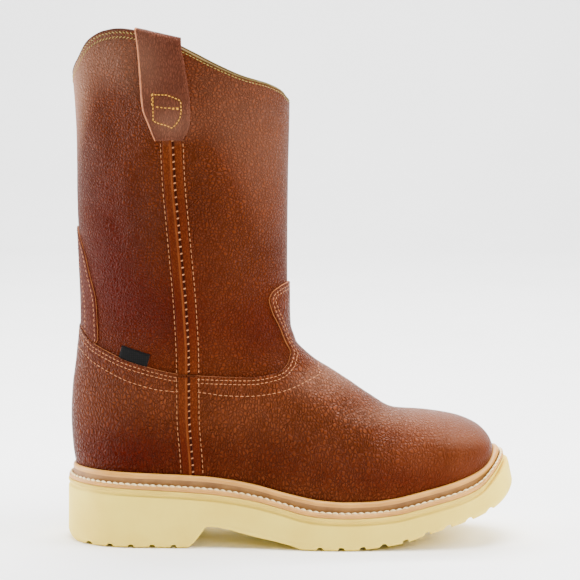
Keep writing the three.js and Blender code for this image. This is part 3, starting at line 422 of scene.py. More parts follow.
class Skin:
    """The upper's outer face as a fine net, with smooth normals and a way to find places."""

    def __init__(self):
        fan_t = np.arange(0, LAST_ROW + T_STEP / 2, T_STEP)
        fan = np.array([section_row(t) for t in fan_t])
        level = int(LEVEL_ROW / T_STEP)
        share = np.linspace(0, 1, COLUMNS + 1)
        wanted = collar_z(1 - np.abs(1 - 2 * share))
        top_t = [np.interp(wanted[c], fan[level:, c, 2], fan_t[level:]) for c in range(COLUMNS + 1)]
        rows = [fan[:level + 1]]
        steps = np.linspace(0, 1, SHAFT_ROWS + 1)[1:]
        t = mix(LEVEL_ROW, np.array(top_t)[None, :], steps[:, None])
        shaft = np.empty(t.shape + (3,))
        for c in range(COLUMNS + 1):
            for k in range(3):
                shaft[:, c, k] = np.interp(t[:, c], fan_t, fan[:, c, k])
        rows.append(shaft)
        self.grid = np.concatenate(rows)
        self.heel = int(HEEL_ROW / T_STEP)
        self.normals = self.find_normals()
        sink = crease_depth(self.grid.reshape(-1, 3)).reshape(self.grid.shape[:2])
        self.grid = self.grid - self.normals * sink[..., None]
        self.normals = self.find_normals()
        self.number, self.quads = self.weld()
        keep = np.zeros(self.number.max() + 1, int)
        keep[self.number.ravel()] = np.arange(self.number.size)
        self.points = self.grid.reshape(-1, 3)[keep]
        self.point_normals = self.normals.reshape(-1, 3)[keep]
        self.keep = keep
        self.tree = BVHTree.FromPolygons([Vector(p) for p in self.points], self.quads)

    def find_normals(self):
        """Outward normals of the grid, the same on both edges of the back seam."""
        down = np.gradient(self.grid, axis=0)
        across = np.gradient(self.grid, axis=1)
        back = across[self.heel:, 0] + across[self.heel:, -1]
        across[self.heel:, 0] = across[self.heel:, -1] = back
        down[self.heel:, 0] = down[self.heel:, -1] = down[self.heel:, 0] + down[self.heel:, -1]
        normals = unit(np.cross(across, down))
        middle = self.grid[-1].mean(axis=0)
        if ((self.grid[-1] - middle) * normals[-1]).sum() < 0:
            normals = -normals
        normals[0] = (1, 0, 0)
        return normals

    def weld(self):
        """Numbers of the grid's places with the toe tip and the back seam joined, and quads."""
        rows, columns = self.grid.shape[:2]
        number = np.arange(rows * columns).reshape(rows, columns)
        number[0] = 0
        number[self.heel:, -1] = number[self.heel:, 0]
        number = np.unique(number, return_inverse=True)[1].reshape(rows, columns)
        quads = []
        for r in range(rows - 1):
            for c in range(columns - 1):
                ring = (number[r, c], number[r, c + 1], number[r + 1, c + 1], number[r + 1, c])
                quads.append(tuple(dict.fromkeys(int(i) for i in ring)))
        return number, [quad for quad in quads if len(quad) > 2]

    def true_field(self, field):
        """A side-view or front-view distance turned into one along the leather."""
        field = field.reshape(self.grid.shape[:2])
        fr, fc = np.gradient(field, axis=0), np.gradient(field, axis=1)
        dr, dc = np.gradient(self.grid, axis=0), np.gradient(self.grid, axis=1)
        e, f, g = (dr * dr).sum(-1), (dr * dc).sum(-1), (dc * dc).sum(-1)
        steep = (g * fr ** 2 - 2 * f * fr * fc + e * fc ** 2) / np.maximum(e * g - f * f, 1e-6)
        return (field / np.clip(np.sqrt(np.maximum(steep, 0)), 0.35, 1.0)).ravel()

    def net(self, field):
        """Rows of place, normal and field, with the net's polygons."""
        field = np.asarray(field).ravel()[self.keep]
        return np.column_stack([self.points, self.point_normals, field]), self.quads

    def find(self, side, x, z):
        """Places and normals of the leather seen from one side at x, z."""
        x, z = np.broadcast_arrays(np.asarray(x, float), np.asarray(z, float))
        spots, normals = np.empty(x.shape + (3,)), np.empty(x.shape + (3,))
        for i in np.ndindex(x.shape):
            start = Vector((x[i], side * 300, z[i]))
            hit, _, face, _ = self.tree.ray_cast(start, Vector((0, -side, 0)))
            if hit is None:
                raise RuntimeError(f"no leather at x {x[i]:.1f}, z {z[i]:.1f}")
            corners = list(self.quads[face])
            near = 1 / (np.linalg.norm(self.points[corners] - np.array(hit), axis=1) + 0.05)
            spots[i] = hit
            normals[i] = near @ self.point_normals[corners]
        return spots, unit(normals)


def signed_distance(points, outline):
    """Distance inside a closed outline, negative outside."""
    best = np.full(len(points), 1e9)
    inside = np.zeros(len(points), bool)
    x, y = points.T
    for (ax, ay), (bx, by) in zip(outline, np.roll(outline, -1, axis=0)):
        dx, dy = bx - ax, by - ay
        u = np.clip(((x - ax) * dx + (y - ay) * dy) / max(dx * dx + dy * dy, 1e-9), 0, 1)
        best = np.minimum(best, np.hypot(x - ax - u * dx, y - ay - u * dy))
        if dy:
            inside ^= ((ay > y) != (by > y)) & (x < ax + (y - ay) * dx / dy)
    return np.where(inside, best, -best)


def traced(data, key, value, count=4):
    """A table's curve as places, with this many steps between two of its rows."""
    keys = np.unique(np.concatenate([
        np.linspace(a, b, count + 1) for a, b in zip(data[key], data[key][1:])]))
    return keys, curve(data, key, value)(keys)


def split_at(values, polygons, level, snap=0.12):
    """Cuts the polygons where the field, the last column, passes level."""
    values = values.copy()
    values[np.abs(values[:, -1] - level) < snap, -1] = level
    field = values[:, -1].tolist()
    added, cuts, result = [], {}, []
    for polygon in polygons:
        around = [field[i] for i in polygon]
        if min(around) >= level or max(around) <= level:
            result.append(polygon)
            continue
        for k in range(1, len(polygon) - 1):
            ring = (polygon[0], polygon[k], polygon[k + 1])
            low, high = [], []
            for i, j in zip(ring, ring[1:] + ring[:1]):
                if field[i] <= level:
                    low.append(i)
                if field[i] >= level:
                    high.append(i)
                if (field[i] - level) * (field[j] - level) < 0:
                    key = (min(i, j), max(i, j))
                    if key not in cuts:
                        a, b = values[key[0]], values[key[1]]
                        row = mix(a, b, (level - a[-1]) / (b[-1] - a[-1]))
                        row[-1] = level
                        cuts[key] = len(values) + len(added)
                        added.append(row)
                    low.append(cuts[key])
                    high.append(cuts[key])
            for part, is_high in ((low, False), (high, True)):
                ends = [field[i] if i < len(field) else level for i in part]
                flat = all(end == level for end in ends)
                if len(part) > 2 and not (flat and not is_high):
                    result.append(tuple(part))
    if added:
        values = np.vstack([values, added])
    return values, result


def trimmed(values, polygons, levels):
    """What lies inside the field's zero line, with loops at each level for its rounding."""
    floor = -0.5
    field = values[:, -1]
    polygons = [p for p in polygons if max(field[i] for i in p) > floor]
    values, polygons = split_at(values, polygons, 0)
    polygons = [p for p in polygons if min(values[i, -1] for i in p) >= 0]
    for level in levels:
        values, polygons = split_at(values, polygons, level)
    return values, polygons


def contour(values, polygons, level):
    """Lines on the net where the field is at level, the longest first, as rows of values."""
    values, polygons = split_at(values, polygons, level)
    field = values[:, -1].tolist()
    ways = {}
    for polygon in polygons:
        if max(field[i] for i in polygon) <= level:
            continue
        for i, j in zip(polygon, polygon[1:] + polygon[:1]):
            if field[i] == level and field[j] == level:
                ways[i] = j
    reached = set(ways.values())
    starts = [i for i in ways if i not in reached] + list(ways)
    lines, used = [], set()
    for start in starts:
        if start in used:
            continue
        line = [start]
        used.add(start)
        while line[-1] in ways and ways[line[-1]] not in used:
            line.append(ways[line[-1]])
            used.add(line[-1])
        if ways.get(line[-1]) == start:
            line.append(start)
        if len(line) > 4:
            lines.append(values[line])
    return sorted(lines, key=len, reverse=True)


def painted_light_at(points):
    """How much painted shade or painted highlight the hide gets at each place."""
    tone = np.zeros(len(points))
    for x, z, reach_x, reach_z, amount in zip(*PAINTED_LIGHT_SPOTS.values()):
        near = np.exp(-((points[:, 0] - x) / reach_x) ** 2 - ((points[:, 2] - z) / reach_z) ** 2)
        tone += amount * near
    return np.clip(tone, -1, 1)


def make_object(name, points, polygons, materials, indices=None, sharp=50):
    """A mesh object in metres from places in millimetres."""
    mesh = bpy.data.meshes.new(name)
    mesh.from_pydata((np.asarray(points) * MM).tolist(), [], [list(p) for p in polygons])
    for material in materials:
        mesh.materials.append(material)
    if indices is not None:
        mesh.polygons.foreach_set("material_index", np.asarray(indices, np.int32))
    mesh.polygons.foreach_set("use_smooth", np.ones(len(mesh.polygons), bool))
    mesh.update()
    # Painted shade and highlights, kept as the tone attribute for the leather finishes
    tone = mesh.attributes.new("tone", "FLOAT", "POINT")
    tone.data.foreach_set("value", painted_light_at(np.asarray(points)).astype(np.float32))
    mesh.set_sharp_from_angle(angle=math.radians(sharp))
    piece = bpy.data.objects.new(name, mesh)
    bpy.context.scene.collection.objects.link(piece)
    return piece


def sheet_solid(name, values, polygons, top, bottom, materials):
    """A closed wall between two pushes of a net: face, back and cut edge."""
    used = sorted({i for p in polygons for i in p})
    renumber = {old: new for new, old in enumerate(used)}
    polygons = [tuple(renumber[i] for i in p) for p in polygons]
    values = values[used]
    points, normals, field = values[:, :3], values[:, 3:6], values[:, -1]
    first = polygons[len(polygons) // 2]
    a, b, c = points[list(first[:3])]
    if np.cross(b - a, c - a) @ normals[first[0]] < 0:
        polygons = [p[::-1] for p in polygons]
    count = len(points)
    outer = points + normals * np.broadcast_to(top(field), count)[:, None]
    inner = points + normals * np.broadcast_to(bottom(field), count)[:, None]
    edges = {(i, j) for p in polygons for i, j in zip(p, p[1:] + p[:1])}
    rim = [(i, j) for i, j in edges if (j, i) not in edges]
    rim.sort()
    walls = [(j, i, i + count, j + count) for i, j in rim]
    backs = [tuple(i + count for i in p[::-1]) for p in polygons]
    indices = [0] * len(polygons) + [1] * len(backs) + [2] * len(walls)
    return make_object(name, np.concatenate([outer, inner]), polygons + backs + walls,
                       materials, indices)


def grid_faces(rows, columns, closed_rows=False, closed_columns=False, first=0):
    """Quads of a grid of places, numbered row by row."""
    faces = []
    for r in range(rows if closed_rows else rows - 1):
        for c in range(columns if closed_columns else columns - 1):
            a, b = r * columns, ((r + 1) % rows) * columns
            d, e = c, (c + 1) % columns
            faces.append((first + a + d, first + a + e, first + b + e, first + b + d))
    return faces


def grid_loop(rows, columns):
    """The outer edge of such a grid, once round."""
    return (list(range(columns)) + [r * columns + columns - 1 for r in range(1, rows)]
            + [(rows - 1) * columns + c for c in range(columns - 2, -1, -1)]
            + [r * columns for r in range(rows - 2, 0, -1)])


def line_of(places, pitch):
    """Middles along a line at a steady pitch: the true pitch, how far along each lies, and a
    way to look values up there."""
    run = np.concatenate([[0], np.cumsum(np.linalg.norm(np.diff(places, axis=0), axis=1))])
    count = max(1, int(run[-1] / pitch))
    at = (np.arange(count) + 0.5) * run[-1] / count

    def look(values, where):
        return np.stack([np.interp(where, run, values[:, k]) for k in range(3)], -1)

    return run[-1] / count, at, look


def thread(places, normals, pitch, length, radius, lift, slant=0.0):
    """One row of stitches along a line: bent strands that dip into the leather at each end."""
    step, middles, look = line_of(places, pitch)
    share = np.linspace(-0.5, 0.5, STRAND_RINGS)
    where = middles[:, None] + share * length * min(1, step / pitch)
    spots, up = look(places, where), unit(look(normals, where))
    ahead = unit(np.gradient(spots, axis=1))
    across = unit(np.cross(ahead, up))
    arch = np.cos(share * math.pi)
    spots = spots + up * (arch * lift - radius * 0.5)[None, :, None]
    spots = spots + across * (share * 2 * slant)[None, :, None]
    ring = np.linspace(0, 2 * math.pi, STRAND_SIDES + 1)[:-1]
    thick = radius * (0.55 + 0.45 * arch)
    sides = (np.cos(ring)[None, None, :, None] * across[:, :, None]
             + np.sin(ring)[None, None, :, None] * up[:, :, None])
    points = spots[:, :, None] + sides * thick[None, :, None, None]
    faces = []
    for n in range(len(points)):
        first = n * STRAND_RINGS * STRAND_SIDES
        last = first + (STRAND_RINGS - 1) * STRAND_SIDES
        faces += grid_faces(STRAND_RINGS, STRAND_SIDES, closed_columns=True, first=first)
        faces.append(tuple(range(first + STRAND_SIDES - 1, first - 1, -1)))
        faces.append(tuple(range(last, last + STRAND_SIDES)))
    return points.reshape(-1, 3), faces


def stitches(name, runs, material):
    """Several rows of stitches in one object. Each run is what thread returns."""
    points, faces, first = [], [], 0
    for run_points, run_faces in runs:
        points.append(run_points)
        faces += [tuple(i + first for i in face) for face in run_faces]
        first += len(run_points)
    return make_object(name, np.concatenate(points), faces, [material])


def ride(piece, slot=None, *nodes):
    """Every piece of the boot moves with its one body."""
    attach(piece, "root")
    if nodes:
        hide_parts(*nodes)


# Materials


def linear(code):
    """An sRGB hex colour as linear values with alpha."""
    parts = [int(code[i:i + 2], 16) / 255 for i in (1, 3, 5)]
    return (*[v / 12.92 if v <= 0.04045 else ((v + 0.055) / 1.055) ** 2.4 for v in parts], 1)


def add(tree, kind, inputs=None, **settings):
    """Adds a shader node with its settings; an input given a socket is linked to it."""
    node = tree.nodes.new(kind)
    for name, value in settings.items():
        setattr(node, name, value)
    for name, value in (inputs or {}).items():
        if isinstance(value, bpy.types.NodeSocket):
            tree.links.new(value, node.inputs[name])
        else:
            node.inputs[name].default_value = value
    return node


def new_material(name):
    """An empty node material and its output."""
    material = bpy.data.materials.new(name)
    material.use_nodes = True
    tree = material.node_tree
    tree.nodes.clear()
    return material, tree, tree.nodes.new("ShaderNodeOutputMaterial")


def per_mm(size):
    """Texture scale that makes one cell this many millimetres across."""
    return 1000 / size


# A stretch far past the toe, for hide that is pebbled all over
PAST_TOE = (1000, 1100)


def full_grain_leather(name, hexes, grain, stretch=(1, 1, 1), deep=0.8, rough=0.4, sunk=0.6,
                       drawn_flat=PAST_TOE):
    """Drum-tumbled, waxed full-grain leather: soft pebbles, lighter on top and darker towards the
    valleys between them, partly real wear and pigment and partly painted highlight and shade, and a
    slow change of tone over the hide. The tone attribute mixes in painted shade and painted
    highlights. Over the stretch of x in drawn_flat, the last pulls the pebbles out."""
    # light is the colour on the pebble tops, partly wear and partly a painted highlight; dark is
    # the colour towards the valleys, partly pigment and partly painted shade
    base, light, dark, warm = [linear(code) for code in hexes]
    material, tree, output = new_material(name)
    place = add(tree, "ShaderNodeTexCoord").outputs["Object"]
    drift = add(tree, "ShaderNodeTexNoise", {"Vector": place, "Scale": per_mm(7), "Detail": 2.0})
    bent = add(tree, "ShaderNodeVectorMath", {0: drift.outputs["Color"], 1: (0.5, 0.5, 0.5)},
               operation="SUBTRACT")
    bent = add(tree, "ShaderNodeVectorMath", {0: bent.outputs[0], "Scale": 0.0042},
               operation="SCALE")
    bent = add(tree, "ShaderNodeVectorMath", {0: place, 1: bent.outputs[0]}, operation="ADD")
    bent = add(tree, "ShaderNodeVectorMath", {0: bent.outputs[0], 1: stretch},
               operation="MULTIPLY")
    cells = add(tree, "ShaderNodeTexVoronoi",
                {"Vector": bent.outputs[0], "Scale": per_mm(grain), "Randomness": 0.95},
                feature="DISTANCE_TO_EDGE")
    pebble = add(tree, "ShaderNodeMapRange",
                 {"Value": cells.outputs["Distance"], "From Min": 0.0, "From Max": 0.29},
                 interpolation_type="SMOOTHSTEP")
    length = add(tree, "ShaderNodeSeparateXYZ", {0: place})
    lasted = add(tree, "ShaderNodeMapRange",
                 {"Value": length.outputs["X"], "From Min": drawn_flat[0] * MM,
                  "From Max": drawn_flat[1] * MM, "To Max": 0.72})
    pebble = add(tree, "ShaderNodeMix", {0: lasted.outputs[0], 2: pebble.outputs[0], 3: 0.5})
    pores = add(tree, "ShaderNodeTexNoise",
                {"Vector": bent.outputs[0], "Scale": per_mm(0.9), "Detail": 3.0})
    patches = add(tree, "ShaderNodeTexNoise",
                  {"Vector": place, "Scale": per_mm(48), "Detail": 3.0, "Roughness": 0.55})
    mottle = add(tree, "ShaderNodeTexNoise",
                 {"Vector": bent.outputs[0], "Scale": per_mm(9), "Detail": 2.0})
    tone = add(tree, "ShaderNodeMapRange",
               {"Value": patches.outputs["Fac"], "From Min": 0.35, "From Max": 0.68})
    hide = add(tree, "ShaderNodeMix", {"Factor": tone.outputs[0], "A": base, "B": warm},
               data_type="RGBA")
    # Pebble tops lighten where the mottle allows: partly rubbed wear, partly a painted highlight
    top = add(tree, "ShaderNodeMapRange",
              {"Value": mottle.outputs["Fac"], "From Min": 0.36, "From Max": 0.74,
               "To Max": 0.14})
    wear_and_highlight = add(tree, "ShaderNodeMath", {0: top.outputs[0], 1: pebble.outputs[0]},
               operation="MULTIPLY")
    raised = add(tree, "ShaderNodeMix",
                 {"Factor": wear_and_highlight.outputs[0], "A": hide.outputs["Result"], "B": light},
                 data_type="RGBA")
    # Darker towards the valleys: partly pigment, partly painted shade
    valley_pigment_and_shade = add(tree, "ShaderNodeMapRange",
                 {"Value": pebble.outputs[0], "From Min": 0.0, "From Max": 0.9,
                  "To Min": sunk, "To Max": 0.0})
    colour = add(tree, "ShaderNodeMix",
                 {"Factor": valley_pigment_and_shade.outputs[0], "A": raised.outputs["Result"], "B": dark},
                 data_type="RGBA")
    # How much painted shade (below 0) and painted highlight (above 0) the tone attribute asks for
    spots = add(tree, "ShaderNodeAttribute", attribute_name="tone").outputs["Fac"]
    waxed = add(tree, "ShaderNodeMapRange", {"Value": spots, "From Max": -1.0})
    rubbed = add(tree, "ShaderNodeMapRange", {"Value": spots})
    # Painted shade: a deep red-brown mixed in where the tone is below 0
    colour = add(tree, "ShaderNodeMix",
                 {"Factor": waxed.outputs[0], "A": colour.outputs["Result"],
                  "B": linear("#3c0300")}, data_type="RGBA")
    # Painted highlight and sheen: a pale tan mixed in where the tone is above 0
    colour = add(tree, "ShaderNodeMix",
                 {"Factor": rubbed.outputs[0], "A": colour.outputs["Result"],
                  "B": linear("#b4866c")}, data_type="RGBA")
    height = add(tree, "ShaderNodeMath",
                 {0: pores.outputs["Fac"], 1: 0.28, 2: pebble.outputs[0]},
                 operation="MULTIPLY_ADD")
    bump = add(tree, "ShaderNodeBump",
               {"Height": height.outputs[0], "Strength": 1.0, "Distance": deep * MM})
    gloss = add(tree, "ShaderNodeMapRange",
                {"Value": pebble.outputs[0], "To Min": rough + 0.2, "To Max": rough})
    skin = add(tree, "ShaderNodeBsdfPrincipled",
               {"Base Color": colour.outputs["Result"], "Roughness": gloss.outputs[0],
                "Normal": bump.outputs[0], "Specular IOR Level": 0.14,
                "Specular Tint": linear("#ffa878")})
    tree.links.new(skin.outputs[0], output.inputs[0])
    return material


def flat_finish(name, hexes, patch=20.0, fine=0.6, deep=0.08, rough=0.6, shine=0.5):
    """A plain surface whose tone drifts between two colours, with a fine raised texture."""
    base, other = [linear(code) for code in hexes]
    material, tree, output = new_material(name)
    place = add(tree, "ShaderNodeTexCoord").outputs["Object"]
    patches = add(tree, "ShaderNodeTexNoise",
                  {"Vector": place, "Scale": per_mm(patch), "Detail": 4.0})
    grain = add(tree, "ShaderNodeTexNoise",
                {"Vector": place, "Scale": per_mm(fine), "Detail": 2.0})
    tone = add(tree, "ShaderNodeMapRange",
               {"Value": patches.outputs["Fac"], "From Min": 0.35, "From Max": 0.68})
    colour = add(tree, "ShaderNodeMix", {"Factor": tone.outputs[0], "A": base, "B": other},
                 data_type="RGBA")
    bump = add(tree, "ShaderNodeBump",
               {"Height": grain.outputs["Fac"], "Strength": 0.8, "Distance": deep * MM})
    gloss = add(tree, "ShaderNodeMapRange",
                {"Value": grain.outputs["Fac"], "To Min": rough - 0.06, "To Max": rough + 0.08})
    face = add(tree, "ShaderNodeBsdfPrincipled",
               {"Base Color": colour.outputs["Result"], "Roughness": gloss.outputs[0],
                "Normal": bump.outputs[0], "Specular IOR Level": shine})
    tree.links.new(face.outputs[0], output.inputs[0])
    return material


def woven_tape(name, code, lighter):
    """Taffeta-woven polyester tape: fine square ribs that catch a little light."""
    material, tree, output = new_material(name)
    place = add(tree, "ShaderNodeTexCoord").outputs["Object"]
    waves = []
    for direction in ("X", "Z"):
        waves.append(add(tree, "ShaderNodeTexWave", {"Vector": place, "Scale": per_mm(0.7) / 6.3},
                         bands_direction=direction).outputs["Fac"])
    weave = add(tree, "ShaderNodeMath", {0: waves[0], 1: waves[1]}, operation="MULTIPLY")
    colour = add(tree, "ShaderNodeMix",
                 {"Factor": weave.outputs[0], "A": linear(code), "B": linear(lighter)},
                 data_type="RGBA")
    bump = add(tree, "ShaderNodeBump", {"Height": weave.outputs[0], "Strength": 0.6,
                                        "Distance": 0.1 * MM})
    cloth = add(tree, "ShaderNodeBsdfPrincipled",
                {"Base Color": colour.outputs["Result"], "Roughness": 0.7,
                 "Normal": bump.outputs[0], "Specular IOR Level": 0.1})
    tree.links.new(cloth.outputs[0], output.inputs[0])
    return material


# Finishes without pebbles, each named for the real material and its making: two colours, the
# size of the patches of tone and of the fine texture, its depth, roughness and shine
FLAT_FINISHES = {
    # Fold of the strip beside the gap: dull, and painted lighter as a highlight on the fold
    "seam_ridge_highlight": ("rubbed_leather_fold", ("#66300e", "#562408"), 8, 0.8, 0.1, 0.8, 0.08),
    # Raw cut edge of dyed leather: paler fibres
    "cut_edge": ("raw_cut_leather_edge", ("#a5602c", "#88461c"), 6, 0.5, 0.12, 0.75),
    # Painted and burnished edge at the collar: dark and close to smooth
    "dark_edge": ("burnished_leather_edge", ("#4a2412", "#361808"), 8, 0.6, 0.08, 0.55, 0.2),
    # Lining turned over at the collar's front, darkened by hands
    "front_edge": ("turned_lining_edge", ("#5e4a1c", "#4c3a12"), 8, 0.6, 0.08, 0.6, 0.1),
    # Soft pigskin lining, undyed tan gone a little olive, with coarse pores
    "lining": ("pigskin_lining_leather", ("#9a7a45", "#836432"), 18, 1.1, 0.12, 0.7),
    # Bottom of the open seam: dyed leather, painted near black as the shadow in the gap
    "dark_gap": ("dyed_leather_backing", ("#2e0e03", "#3c1405"), 6, 0.8, 0.05, 0.75, 0.08),
    # Vegetable-tanned welt strip, rolled and waxed: warm ochre with a soft gloss
    "welt": ("vegetable_tanned_welt_leather", ("#c88c34", "#b67c28"), 14, 0.8, 0.05, 0.46),
    # Groove of the welt and underside of its bead: painted browner as their shade, and duller
    "welt_groove_shade": ("waxed_welt_groove_leather", ("#94662a", "#7c501c"), 8, 0.8, 0.08, 0.6),
    # Expanded rubber, moulded with a matt skin, a little yellowed
    "sole": ("moulded_expanded_rubber_sole", ("#ecd04c", "#e2c23e"), 34, 1.3, 0.08, 0.62),
    # The same rubber, ground smooth at the edge: deeper yellow
    "midsole": ("ground_expanded_rubber_midsole", ("#d8b83a", "#caa830"), 20, 1.0, 0.05, 0.6),
    # Tanned sock leather: pale tan, matt, with an open grain
    "insole": ("tanned_sock_leather", ("#b89468", "#a5825a"), 25, 1.4, 0.1, 0.7),
    # Waxed thread, thick enough to show each twist as one stitch: cream with a soft shine
    "white_thread": ("waxed_white_thread", ("#f6dfa8", "#e8cc8c"), 3, 0.4, 0.06, 0.55),
    # Bonded thread in tan: reads as light dashes on the brown hide
    "tan_thread": ("bonded_tan_thread", ("#bc7a48", "#a8653a"), 3, 0.4, 0.05, 0.6),
    # Bonded thread in gold: the brightest on the boot, with a slight gloss
    "gold_thread": ("bonded_gold_thread", ("#e0a01c", "#b88010"), 3, 0.4, 0.05, 0.5),
    # Bonded thread in olive: close to the lining beside it, and matt
    "olive_thread": ("bonded_olive_thread", ("#a08a3c", "#8a7430"), 3, 0.4, 0.05, 0.6),
}
store = {}


def finish_of(kind):
    """Each finish of the boot, made once and named for the real material and its making."""
    if kind in store:
        return store[kind]
    look = bpy.context.scene.boot
    grain = look.grain / MM
    if kind in FLAT_FINISHES:
        made = flat_finish(*FLAT_FINISHES[kind])
    elif kind == "shaft":
        # Oiled red-brown hide: the pebbles read as fine light and dark speckle
        made = full_grain_leather("oiled_full_grain_leather_shaft",
                                  (to_hex(look.shaft_colour), "#703a1a", "#240700", "#5c260e"),
                                  grain)
    elif kind == "foot":
        # Waxed orange-brown hide, stretched over the last: drawn, streaky pebbles
        made = full_grain_leather("waxed_full_grain_leather_foot",
                                  (to_hex(look.foot_colour), "#844c2a", "#240800", "#68321a"),
                                  grain * 1.25, (1.35, 1.0, 0.8), 1.1, 0.36, 0.5, (45, 112))
    elif kind == "strap":
        # Smoother split leather, printed with an upright grain
        made = full_grain_leather("printed_split_leather_strap",
                                  ("#4e2416", "#6a3a2c", "#240a06", "#5a2e20"), grain * 0.85,
                                  (1.6, 1.0, 0.5), 0.4, 0.52)
    elif kind == "seam":
        # Smooth belly leather strip, lighter on its pebble tops: partly rubbed, partly painted
        # highlight
        made = full_grain_leather("smooth_side_leather_strip",
                                  ("#54200a", "#6c3614", "#300a00", "#5e280c"), 1.5,
                                  (1, 1, 0.6), 0.2, 0.46)
    elif kind == "label":
        # Taffeta-woven tape: black, with fine square ribs
        made = woven_tape("taffeta_woven_label_tape", "#050505", "#121111")
    else:
        raise RuntimeError(f"no finish named {kind}")
    store[kind] = made
    return made


def to_hex(colour):
    """A colour property, kept as sRGB, as a hex value."""
    return "#" + "".join(f"{round(v * 255):02x}" for v in colour[:3])


def from_hex(code):
    """A hex value as a colour property, kept as sRGB."""
    return tuple(int(code[i:i + 2], 16) / 255 for i in (1, 3, 5))


# Shapes shared by several pieces

skin = Skin()


def rim_net():
    """The net with the way down the leather from the collar's rim as its field."""
    steps = np.linalg.norm(np.diff(skin.grid, axis=0), axis=2)
    below = np.concatenate([np.cumsum(steps[::-1], axis=0)[::-1], np.zeros((1, COLUMNS + 1))])
    return skin.net(below)


def tongue_field(data, wanted):
    """Distance inside a tongue seen from the front or back, where x is as wanted."""
    points = skin.grid.reshape(-1, 3)
    zs, half = traced(data, "z", "half")
    outline = np.array([*zip(-half, zs), *zip(half[-2::-1], zs[-2::-1])])
    inside = signed_distance(points[:, [1, 2]], outline)
    return np.where(wanted(points[:, 0]), skin.true_field(inside), -FAR)


def vamp_field():
    """Distance inside the foot piece's edge, with the tab up the front."""
    points = skin.grid.reshape(-1, 3)
    xs, zs = traced(VAMP_LINE, "x", "z")
    body = np.array([*zip(xs, zs), *THROAT, (180, 5), (-170, 5)])
    under = skin.true_field(signed_distance(points[:, [0, 2]], body))
    return np.maximum(under, tongue_field(TAB, lambda x: x > TAB_FROM))


def stay_tongue():
    """Distance inside the back stay's tongue, on under the foot piece."""
    return tongue_field(STAY, lambda x: x < STAY_TO)


def stay_field(clear):
    """Distance inside the back stay, which ends at the foot piece's edge."""
    return np.minimum(stay_tongue(), -vamp_field() - clear)


def edge_round(field, thick, radius, left=0.5):
    """Thickness near a cut edge: left of it at the edge, full after the radius."""
    near = np.clip(1 - field / radius, 0, 1)
    return thick * (left + (1 - left) * np.sqrt(1 - near ** 2))


def thread_dips(field, lines, deep=0.22, wide=0.5):
    """Shallow furrows where rows of stitches pull the leather in."""
    return sum(deep * np.exp(-((field - line) / wide) ** 2) for line in lines)


def strip_on(name, side, zs, across, heights, base, materials, indices=None):
    """A strip laid along the side seam: offsets across it, with a height at each."""
    middle = seam_x(zs)[:, None] + across[None, :]
    spots, normals = skin.find(side, middle, np.broadcast_to(zs[:, None], middle.shape))
    top = spots + normals * (base + heights)[..., None]
    foot = spots + normals * (base - 0.25)
    ring = np.concatenate([top, foot[:, ::-1]], axis=1)
    rows, around_strip = ring.shape[:2]
    faces = grid_faces(rows, around_strip, closed_columns=True)
    ends = [tuple(range(around_strip - 1, -1, -1)),
            tuple(range((rows - 1) * around_strip, rows * around_strip))]
    if side > 0:
        faces = [face[::-1] for face in faces]
        ends = [end[::-1] for end in ends]
    return make_object(name, ring.reshape(-1, 3), faces + ends, materials, indices, 60)


def laid_line(side, xs, zs, push, count=200):
    """A line in side view, laid on the leather and pushed off it."""
    run = np.concatenate([[0], np.cumsum(np.hypot(np.diff(xs), np.diff(zs)))])
    at = np.linspace(0, run[-1], count)
    spots, normals = skin.find(side, np.interp(at, run, xs), np.interp(at, run, zs))
    return spots + normals * push, normals


def sole_stations():
    """The feather line's stations, closer at both ends and at every tread groove."""
    step = np.linspace(0, 1, STATIONS)
    swing = mix(step, (1 - np.cos(np.pi * step)) / 2, 0.8)
    edges = [x + offset for x in GROOVES for offset in GROOVE_STATIONS]
    x = np.unique(np.round(np.concatenate([mix(TOE_X, HEEL_X, swing), edges]), 3))[::-1]
    x = x[(x <= TOE_X) & (x >= HEEL_X)]
    x = x[np.concatenate([[True], np.abs(np.diff(x)) > 0.15])]
    x[0], x[-1] = TOE_X, HEEL_X
    outer = np.stack([x, -feather_half(x, -1)], 1)
    inner = np.stack([x, feather_half(x, 1)], 1)
    around = np.concatenate([outer, inner[1:-1][::-1]])
    way = np.roll(around, -1, axis=0) - np.roll(around, 1, axis=0)
    outward = unit(np.stack([-way[:, 1], way[:, 0]], 1))
    outward[0], outward[len(x) - 1] = (1, 0), (-1, 0)
    return around, outward, len(x)


around, outward, half_count = sole_stations()


def level(out, height):
    """One level of a sole piece, out from the feather line; both may follow the length."""
    x = around[:, 0]
    reach = out(x) if callable(out) else np.full(len(x), float(out))
    place = around + outward * reach[:, None]
    return np.column_stack([place, height(place[:, 0], x)])


def over_feather(rise):
    """A level's height over the feather line."""
    return lambda _, x: feather_z(x) + rise


def stacked(name, levels, materials, ring=False, dark=(), sharp=40):
    """Levels of the sole joined into one closed piece. A ring is joined from its last level
    to its first, anything else is closed above and below; dark bands get material 1."""
    count = len(levels[0])
    faces = grid_faces(len(levels), count, closed_rows=ring, closed_columns=True)
    indices = [int(i // count in dark) for i in range(len(faces))]
    if not ring:
        for first, flip in ((0, False), ((len(levels) - 1) * count, True)):
            left = list(range(half_count))
            right = [0] + list(range(count - 1, half_count - 2, -1))
            for i in range(half_count - 1):
                quad = [left[i], left[i + 1], right[i + 1], right[i]]
                quad = tuple(dict.fromkeys(first + k for k in quad))
                if len(quad) > 2:
                    faces.append(quad[::-1] if flip else quad)
                    indices.append(0)
    points = np.concatenate(levels)
    volume = 0.0
    for face in faces:
        for k in range(1, len(face) - 1):
            a, b, c = points[face[0]], points[face[k]], points[face[k + 1]]
            volume += a @ np.cross(b, c)
    if volume < 0:
        faces = [face[::-1] for face in faces]
    return make_object(name, points, faces, materials, indices, sharp)


# Pieces


